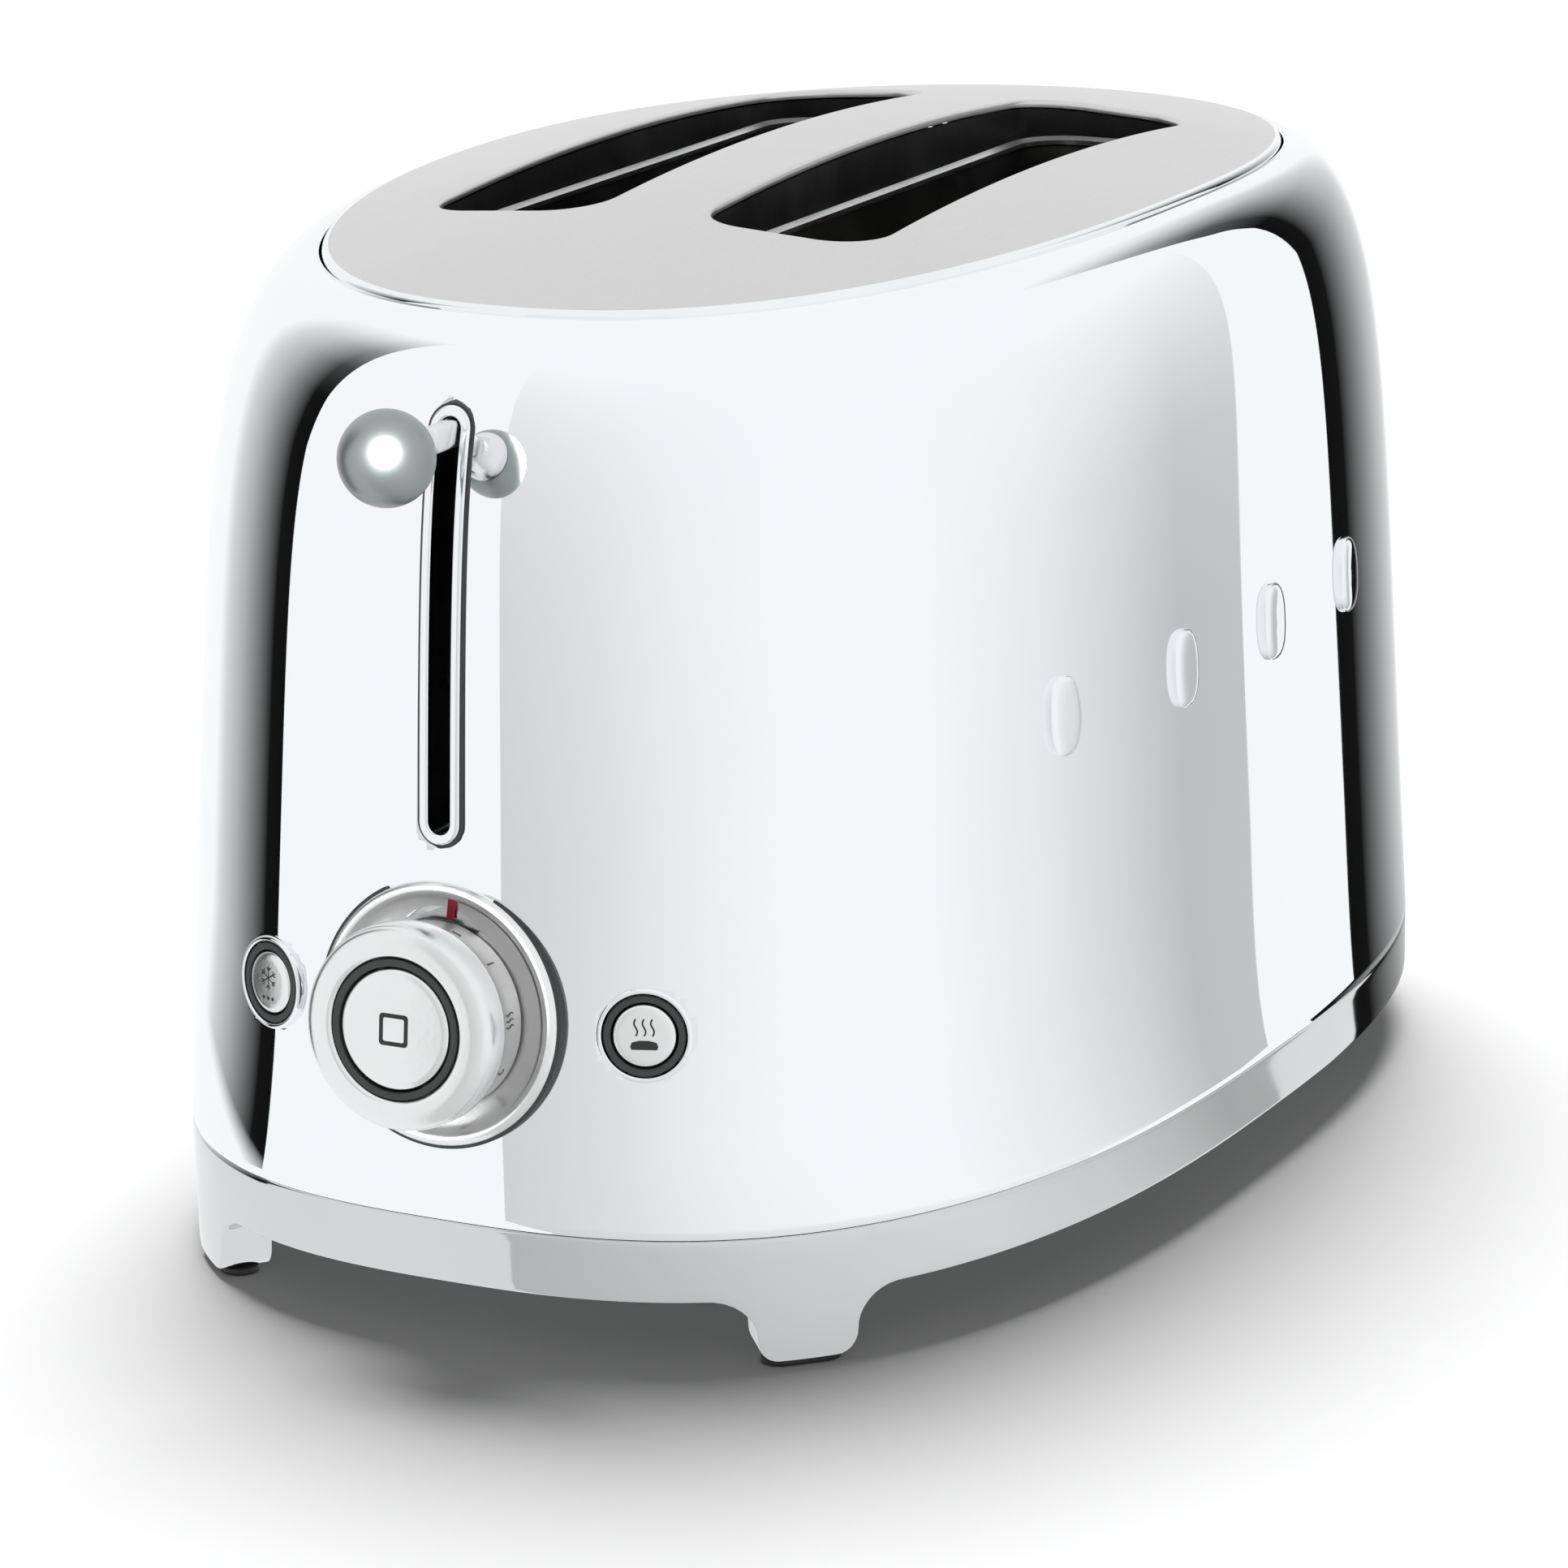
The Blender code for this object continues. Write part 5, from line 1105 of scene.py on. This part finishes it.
for i in range(4):
    stud_low, stud_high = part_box("badge_stud_%d" % (i + 1))
    spot, outward = wall_at_side((stud_low.x + stud_high.x) / 2, (stud_low.z + stud_high.z) / 2)
    rings = []
    for size, height in eased([(1.0, -0.6), (1.0, 1.0, 0.5), (0.78, 1.75, 0.4), (0.0, 1.8)], 5):
        rings.append([Vector((4.5 * MM * max(size, 0.02) * math.copysign(abs(math.cos(a)) ** 0.77,
                                                                         math.cos(a)),
                              7.5 * MM * max(size, 0.02) * math.copysign(abs(math.sin(a)) ** 0.77,
                                                                         math.sin(a)),
                              height * MM)) for a in (2 * math.pi * k / 48 for k in range(48))])
    piece("badge_oval_%d" % (i + 1), skin("badge_oval_%d" % (i + 1), rings, caps=True), small_chrome,
          "housing",
          "badge_stud_%d" % (i + 1), placed(spot, outward), 50)
print("ovals on the front side")

# %% [markdown]
# In each slot two wire grids hold the slice, and close in as the lever goes down. The
# slice stands on a ladder rack. Real grids are bent from round wire and spot welded, so
# they are built the same way: a long frame, uprights, and one cross wire.

# %% Bread guides
for side in ("front", "rear"):
    for where in ("inner", "outer"):
        name = "bread_guide_%s_%s" % (side, where)
        low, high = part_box(name)
        y, r = (low.y + high.y) / 2, (high.y - low.y) / 2 * 0.98
        left, right, bottom, top = low.x + r, high.x - r, low.z + r, high.z - r
        corner = 5 * MM
        loop = []
        for turn, (sx, sz) in enumerate(((1, 1), (-1, 1), (-1, -1), (1, -1))):
            middle = ((left if sx < 0 else right) - sx * corner, (bottom if sz < 0 else top) - sz * corner)
            for k in range(7):
                a = math.pi / 2 * (turn + k / 6)
                loop.append((middle[0] + corner * math.cos(a), y, middle[1] + corner * math.sin(a)))
        frame_wire = wire(name, [loop], r, closed=True, sides=4)
        bars = [[(left + (right - left) * k / 7, y, bottom), (left + (right - left) * k / 7, y, top)]
                for k in range(1, 7)]
        bars.append([(left, y, (bottom + top) / 2), (right, y, (bottom + top) / 2)])
        grid = joined(name + "_wires", [frame_wire, wire(name + "_bars", bars, r * 0.9, sides=3)])
        piece(name + "_wires", grid, wire_nickel, "guide_%s_%s" % (side, where), name, sharp=60)
print("bread guides bent from wire")

# %% Bread racks
for side in ("front", "rear"):
    name = "bread_rack_" + side
    low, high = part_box(name)
    y, r = (low.y + high.y) / 2, (high.z - low.z) / 2 * 0.97
    z = (low.z + high.z) / 2
    half = (high.y - low.y) / 2 - r
    left, right = MIDDLE - 74 * MM + r, MIDDLE + 74 * MM - r
    rails = [[(left, y - half, z), (right, y - half, z)], [(left, y + half, z), (right, y + half, z)],
             [(low.x + r, y, z), (high.x - r, y, z)]]
    rungs = [[(left + (right - left) * k / 14, y - half, z), (left + (right - left) * k / 14, y + half, z)]
             for k in range(15)]
    piece(name + "_wires", wire(name + "_wires", rails + rungs, r, sides=3), wire_nickel, "carriage", name,
          sharp=60)
print("racks made")

# %% [markdown]
# The heater cards are mica boards wound with flat resistance ribbon. The ribbon runs in
# level passes on both faces and turns in notches at the board's ends. Shields of plain
# sheet stand behind the outer cards; pressed ribs keep such sheet from ringing.

# %% Heater cards
for where in ("front", "middle", "rear"):
    name = "heater_card_" + where
    low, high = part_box(name)
    left, right, bottom, top = low.x, high.x, low.z, high.z
    outline = [(left + 3 * MM, bottom), (right - 3 * MM, bottom), (right, bottom + 3 * MM)]
    notches = 13
    pitch = (top - bottom - 16 * MM) / notches
    for k in range(notches):
        z = bottom + 8 * MM + pitch * (k + 0.5)
        outline += [(right, z - 0.9 * MM), (right - 1.5 * MM, z - 0.6 * MM), (right - 1.5 * MM, z + 0.6 * MM),
                    (right, z + 0.9 * MM)]
    outline += [(right, top - 3 * MM), (right - 3 * MM, top), (left + 3 * MM, top), (left, top - 3 * MM)]
    for k in reversed(range(notches)):
        z = bottom + 8 * MM + pitch * (k + 0.5)
        outline += [(left, z + 0.9 * MM), (left + 1.5 * MM, z + 0.6 * MM), (left + 1.5 * MM, z - 0.6 * MM),
                    (left, z - 0.9 * MM)]
    outline.append((left, bottom + 3 * MM))
    y, thick = (low.y + high.y) / 2, high.y - low.y
    card = sheet(name + "_board", [outline], thick * 0.6, 0.05 * MM)
    for v in card.vertices:
        v.co = (v.co.x, y - v.co.z, v.co.y)
    piece(name + "_board", card, mica_board, "housing", name)
    ribbons = []
    for face in (-1, 1):
        for k in range(notches):
            z = bottom + 8 * MM + pitch * (k + 0.5)
            band_z = 0.8 * MM
            at = y + face * thick * 0.42
            ribbons.append(rounded_box("ribbon", (left + 1.6 * MM, at - 0.06 * MM, z - band_z),
                                       (right - 1.6 * MM, at + 0.06 * MM, z + band_z), 0.02 * MM, 1))
    piece(name + "_ribbon", joined(name + "_ribbon", ribbons), heating_wire, "housing")
print("heater cards wound")

# %% [markdown]
# The lift spring stands round one guide rod and pushes the carriage up. A coil is a curve
# swept with round wire. Its end turns lie flat, as ground spring ends do.

# %% Lift spring
spring_low, spring_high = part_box("lift_spring")
coil_r = (spring_high.x - spring_low.x) / 2 - 0.5 * MM
axis_x, axis_y = (spring_high.x + spring_low.x) / 2, (spring_high.y + spring_low.y) / 2
coil = []
turns, foot, head = 13, spring_low.z + 0.45 * MM, spring_high.z - 0.45 * MM
for k in range(turns * 24 + 1):
    t = k / (turns * 24)
    climb = min(1.0, max(0.0, (t * turns - 1) / (turns - 2)))
    a = 2 * math.pi * turns * t
    coil.append((axis_x + coil_r * math.cos(a), axis_y + coil_r * math.sin(a), foot + (head - foot) * climb))
spring = piece("lift_spring_coil", wire("lift_spring_coil", [coil], 0.45 * MM, sides=2), spring_steel,
               "housing",
               "lift_spring")
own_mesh(spring)

# %% [markdown]
# The crumb tray slides out at the back. It is a shallow folded pan with a rolled front
# that completes the band, and a small pull. The screws have crossed recesses, made by
# moving the inner points of the head down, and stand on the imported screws' places.

# %% Base screws
for corner in ("front_left", "front_right", "rear_left", "rear_right"):
    name = "base_screw_" + corner
    low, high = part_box(name)
    head_r = (high.x - low.x) / 2
    screw = turned(name + "_head", eased([
        (0, 0.9 * MM), (0.5 * MM, 0.9 * MM), (head_r * 0.55, 0.25 * MM, 0.4 * MM),
        (head_r, 0.6 * MM, 0.3 * MM),
        (head_r, 1.8 * MM, 0.3 * MM), (1.5 * MM, 2.4 * MM), (1.5 * MM, high.z - low.z),
        (0, high.z - low.z)]), 48)
    for v in screw.vertices:
        reach = math.hypot(v.co.x, v.co.y)
        if v.co.z < 1.0 * MM and 0.3 * MM < reach < head_r * 0.8:
            cross = abs(math.sin(2 * math.atan2(v.co.y, v.co.x)))
            v.co.z += (0.9 * MM if cross < 0.45 else 0.0) - (0.25 * MM if cross > 0.6 else 0.0)
    middle = Vector(((low.x + high.x) / 2, (low.y + high.y) / 2, low.z))
    piece(name + "_cross", screw, zinc_sheet, "housing", name, Matrix.Translation(middle), 30)
print("screws made")

# %% [markdown]
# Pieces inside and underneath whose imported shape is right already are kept. Each gets the
# finish of its real counterpart, and a small bevel where sheet or moulding has an eased
# edge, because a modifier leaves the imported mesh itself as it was.

# %% Kept pieces
KEPT = {
    "base_plate": (zinc_sheet, 0.25), "crumb_tray": (zinc_sheet, 0.25), "cord_gland": (dark_plastic, 0.3),
    "cord_wrap": (dark_plastic, 0.3), "chassis_front": (zinc_sheet, 0.2), "chassis_rear": (zinc_sheet, 0.2),
    "heat_shield_front": (oven_sheet, 0.2), "heat_shield_rear": (oven_sheet, 0.2),
    "lift_carriage": (zinc_sheet, 0.35), "guide_rod_front": (spring_steel, 0.2),
    "guide_rod_rear": (spring_steel, 0.2),
    "rod_bridge": (zinc_sheet, 0.2), "latch_plate": (zinc_sheet, 0.2), "electromagnet": (copper_wire, 0.2),
    "potentiometer": (dark_plastic, 0.4), "control_board": (circuit_green, 0.15),
    "stop_switch": (dark_plastic, 0.25), "defrost_switch": (dark_plastic, 0.25),
    "reheat_switch": (dark_plastic, 0.25),
}
for corner in ("front_left", "front_right", "rear_left", "rear_right"):
    KEPT["foot_pad_" + corner] = (pad_rubber, 0.25)
for name, (look_of, ease) in KEPT.items():
    part = frame["nodes"][name]
    part.data.materials.clear()
    part.data.materials.append(look_of)
    rounding = part.modifiers.new("eased_edges", "BEVEL")
    rounding.width, rounding.segments, rounding.limit_method = ease * MM, 2, "ANGLE"
    rounding.angle_limit = math.radians(40)
left = [n for n, o in frame["nodes"].items() if not o.hide_render and n not in KEPT]
print("kept:", len(KEPT), "still plain:", left)

# %% [markdown]
# The room is a white studio. The world is a soft white dome. A wide
# panel overhead and behind gives the floor its light and the toaster its shadow towards
# the viewer. Polished metal needs something dark to mirror, so two cards that shade from
# black to white stand near the far corners. Only mirrors see them: they cast no shadow.

# %% Floor
DOME_FILL = 0.1
paper = finish("white_paper_floor", (0.9, 0.9, 0.9), (0.88, 0.88, 0.88), (0.7, 0.8), size=300.0, depth=0.01,
               smudge=1.0)
floor_mesh = bpy.data.meshes.new("studio_floor")
floor_mesh.from_pydata([(-9, -9, 0), (9, -9, 0), (9, 9, 0), (-9, 9, 0)], [], [(0, 1, 2, 3)])
floor_mesh.materials.append(paper)
studio_floor = bpy.data.objects.new("studio_floor", floor_mesh)
studio_floor.location.z = cad_size[0][2] - 0.0001
bpy.context.scene.collection.objects.link(studio_floor)
studio_floor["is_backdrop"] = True
print("floor laid")

# %% World dome
bpy.context.scene.view_settings.view_transform = "Standard"
world = bpy.data.worlds.new("white_dome")
bpy.context.scene.world = world
world.use_nodes = True
sky = world.node_tree
sky.nodes["Background"].inputs["Color"].default_value = (0.985, 0.993, 1.0, 1)
rays = node(sky, "ShaderNodeLightPath", (-500, -300))
strength = node(sky, "ShaderNodeMapRange", (-250, -300))
fill(strength, To_Min=1.0, To_Max=DOME_FILL)
link(sky, rays, "Diffuse Depth", strength, "Value")
link(sky, strength, "Result", sky.nodes["Background"], "Strength")
print("dome ready")

# %% Lamps
def hung(name, lamp, spot, goal):
    made = bpy.data.objects.new(name, lamp)
    made.location = spot
    made.rotation_euler = (Vector(goal) - Vector(spot)).to_track_quat("-Z", "Y").to_euler()
    made.visible_glossy = False
    bpy.context.scene.collection.objects.link(made)
    return made


wide_lamp = bpy.data.lights.new("wide_overhead", "SUN")
wide_lamp.angle, wide_lamp.energy = math.radians(38), 3.7
hung("wide_overhead", wide_lamp, (0.33, 0.17, 0.93), (0, 0, 0))
fill_lamp = bpy.data.lights.new("front_fill", "AREA")
fill_lamp.size, fill_lamp.energy = 1.2, 0.8
hung("front_fill", fill_lamp, (-1.3, -0.5, 0.9), (-0.1, 0, 0.08))
def spot_for(name, target, spot, size, power):
    """A round lamp that lights one piece only, mirrors included."""
    lamp = bpy.data.lights.new(name, "AREA")
    lamp.shape, lamp.size, lamp.energy = "DISK", size, power
    lit = hung(name, lamp, spot, BALL_AT)
    lit.visible_glossy = True
    only = bpy.data.collections.new("lit_by_" + name)
    only.objects.link(bpy.data.objects[target])
    lit.light_linking.receiver_collection = only


spot_for("ball_lamp", "lever_ball_polished", (-1.05, -0.42, 0.62), 1.3, 52.0)
spot_for("dish_lamp", "dial_dish_polished", (-1.2, 0.1, 0.5), 1.6, 14.0)
print("lamps hung")

# %% [markdown]
# A mirror shows its room, so the room is built for it. A white sheet lies round the body
# and glows for mirrors only: a painted reflection of an evenly bright floor, also where the
# real floor lies in the toaster's shadow. Graduated films stand on a circle, each with one
# sharp edge, and paint dark and grey bands into the reflections. A film could be a grey
# card, but a film that only dims what is behind it leaves no seam where it fades out.
# Only mirrors see them: they cast no shadow.

# %% Mirror sheet
def only_in_mirrors(made):
    bpy.context.scene.collection.objects.link(made)
    made.visible_camera = made.visible_diffuse = made.visible_shadow = made.visible_transmission = False
    made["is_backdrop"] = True


def strip_material(name, stops):
    """A film: clear where its V coordinate is 1, and toned along U by the stops where V is 0."""
    made = bpy.data.materials.new(name)
    made.use_nodes = True
    tree = made.node_tree
    tree.nodes.remove(tree.nodes["Principled BSDF"])
    across = node(tree, "ShaderNodeUVMap", (-900, 0), uv_map="UVMap")
    parts = node(tree, "ShaderNodeSeparateXYZ", (-700, 0))
    tone = node(tree, "ShaderNodeValToRGB", (-500, 0))
    points = tone.color_ramp.elements
    for k, (place, grey) in enumerate(stops):
        point = points[k] if k < 2 else points.new(place)
        point.position, point.color = place, (grey, grey, grey, 1)
    fade = node(tree, "ShaderNodeMix", (-200, 0), data_type="RGBA")
    fade.inputs[7].default_value = (1, 1, 1, 1)
    clear = node(tree, "ShaderNodeBsdfTransparent", (0, 0))
    link(tree, across, "UV", parts, "Vector")
    link(tree, parts, "X", tone, "Fac")
    link(tree, parts, "Y", fade, 0)
    link(tree, tone, "Color", fade, 6)
    link(tree, fade, 2, clear, "Color")
    link(tree, clear, "BSDF", tree.nodes["Material Output"], "Surface")
    return made


def uv_grid(name, rows, material):
    """A sheet from rows of (point, uv)."""
    columns = len(rows[0])
    faces = [(r * columns + k, r * columns + k + 1, (r + 1) * columns + k + 1, (r + 1) * columns + k)
             for r in range(len(rows) - 1) for k in range(columns - 1)]
    mesh = bpy.data.meshes.new(name)
    mesh.from_pydata([point for row in rows for point, _ in row], [], faces)
    layer = mesh.uv_layers.new(name="UVMap")
    corners = [uv for row in rows for _, uv in row]
    for corner in mesh.loops:
        layer.data[corner.index].uv = corners[corner.vertex_index]
    mesh.materials.append(material)
    made = bpy.data.objects.new(name, mesh)
    only_in_mirrors(made)
    return made


def around(degrees, radius, height):
    return (MIDDLE + radius * math.cos(math.radians(degrees)), radius * math.sin(math.radians(degrees)),
            height)


glow = bpy.data.materials.new("painted_reflection_sheet")
glow.use_nodes = True
tree = glow.node_tree
tree.nodes.remove(tree.nodes["Principled BSDF"])
sheet_uv = node(tree, "ShaderNodeUVMap", (-700, 0), uv_map="UVMap")
sheet_part = node(tree, "ShaderNodeSeparateXYZ", (-500, 0))
sheet_glow = node(tree, "ShaderNodeEmission", (-300, 0))
sheet_glow.inputs["Color"].default_value = (0.985, 0.993, 1.0, 1)
# The sheet glows at full strength only until a ray has met a diffuse surface. Mirrors show it, while it
# lights the floor at only a tenth: a painted reflection, not a lamp.
sheet_rays = node(tree, "ShaderNodeLightPath", (-900, -200))
sheet_strength = node(tree, "ShaderNodeMapRange", (-500, -200))
fill(sheet_strength, To_Min=1.0, To_Max=DOME_FILL)
link(tree, sheet_rays, "Diffuse Depth", sheet_strength, "Value")
link(tree, sheet_strength, "Result", sheet_glow, "Strength")
sheet_clear = node(tree, "ShaderNodeBsdfTransparent", (-300, -200))
sheet_mix = node(tree, "ShaderNodeMixShader", (-100, 0))
link(tree, sheet_uv, "UV", sheet_part, "Vector")
link(tree, sheet_part, "Y", sheet_mix, 0)
link(tree, sheet_glow, "Emission", sheet_mix, 1)
link(tree, sheet_clear, "BSDF", sheet_mix, 2)
link(tree, sheet_mix, "Shader", tree.nodes["Material Output"], "Surface")
uv_grid("painted_reflection_sheet", [[(around(5 * k, radius, 0.0003), (0.0, faded)) for k in range(73)]
                        for radius, faded in ((0.02, 0.0), (0.6, 0.0), (14.0, 0.0))], glow)
print("white sheet laid")

# %% Graduated films
FILM_RADIUS = 0.33
FILM_FLOOR = (0.11, 0.125, 0.14, 0.155, 0.17, 0.19, 0.21, 0.23, 0.255, 0.28, 0.305, FILM_RADIUS)
film_lifts = iter([0.0006 + 0.0003 * k for k in range(9)])
FILM_HEIGHTS = (0.06, 0.12, 0.18, 0.23, 0.28, 0.34, 0.40, 0.46)


def film(name, stops, edge, wide, spread, lean, faded, clear_within=0.0):
    """A film with its sharp edge at an angle; it fades out over a width, and leans over up high."""
    material = strip_material(name, stops)
    lift = next(film_lifts)
    rows = []
    for radius in FILM_FLOOR:
        start = edge + spread * (FILM_RADIUS / radius - 1)
        fade = 1.0 if radius < clear_within else 0.0
        rows.append([(around(start + wide * k / 32, radius, lift), (k / 32, fade)) for k in range(33)])
    for height, fade in zip(FILM_HEIGHTS, faded):
        start = edge + lean * max(0.0, height - 0.2)
        rows.append([(around(start + wide * k / 32, FILM_RADIUS + lift, height), (k / 32, fade))
                     for k in range(33)])
    return uv_grid(name, rows, material)


# The films put painted reflections into the chrome. Two dark films give the dark bands by the lever end and
# along the long side, and two pale films give the soft grey steps.
DARK_TONES = ((0.0, 0.006), (1.0, 1.0), (0.13, 0.008), (0.35, 0.25), (0.55, 0.48), (0.8, 0.7))
film("film_beside_lever_far", DARK_TONES, 132, -42, 20, 60, (0, 0, 0, 0, 0.05, 0.3, 0.7, 1),
     clear_within=0.225)
film("film_beside_long_side", DARK_TONES, -29, 28, -15, -95, (0, 0, 0, 0, 0.1, 0.4, 0.75, 1))
film("pale_film_long_side", ((0.0, 0.58), (1.0, 1.0), (0.15, 0.56), (0.35, 0.72), (0.6, 0.87)),
     -40.5, -62, -17, 0, (0, 0.15, 0.55, 0.8, 1, 1, 1, 1))
film("pale_film_lever_end", ((0.0, 0.69), (1.0, 1.0), (0.3, 0.78), (0.6, 0.9)),
     170, 54, 14, 0, (0, 0.1, 0.3, 0.5, 0.7, 0.9, 1, 1))
print("films stood round the body")

# %% Sizes and finish
new_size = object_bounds()
sizes = {"cad": [[float(v) for v in corner] for corner in cad_size],
         "visual": [[float(v) for v in corner] for corner in new_size]}
for label, (low, high) in sizes.items():
    print(label, [round((b - a) * 1000, 2) for a, b in zip(low, high)], "mm")
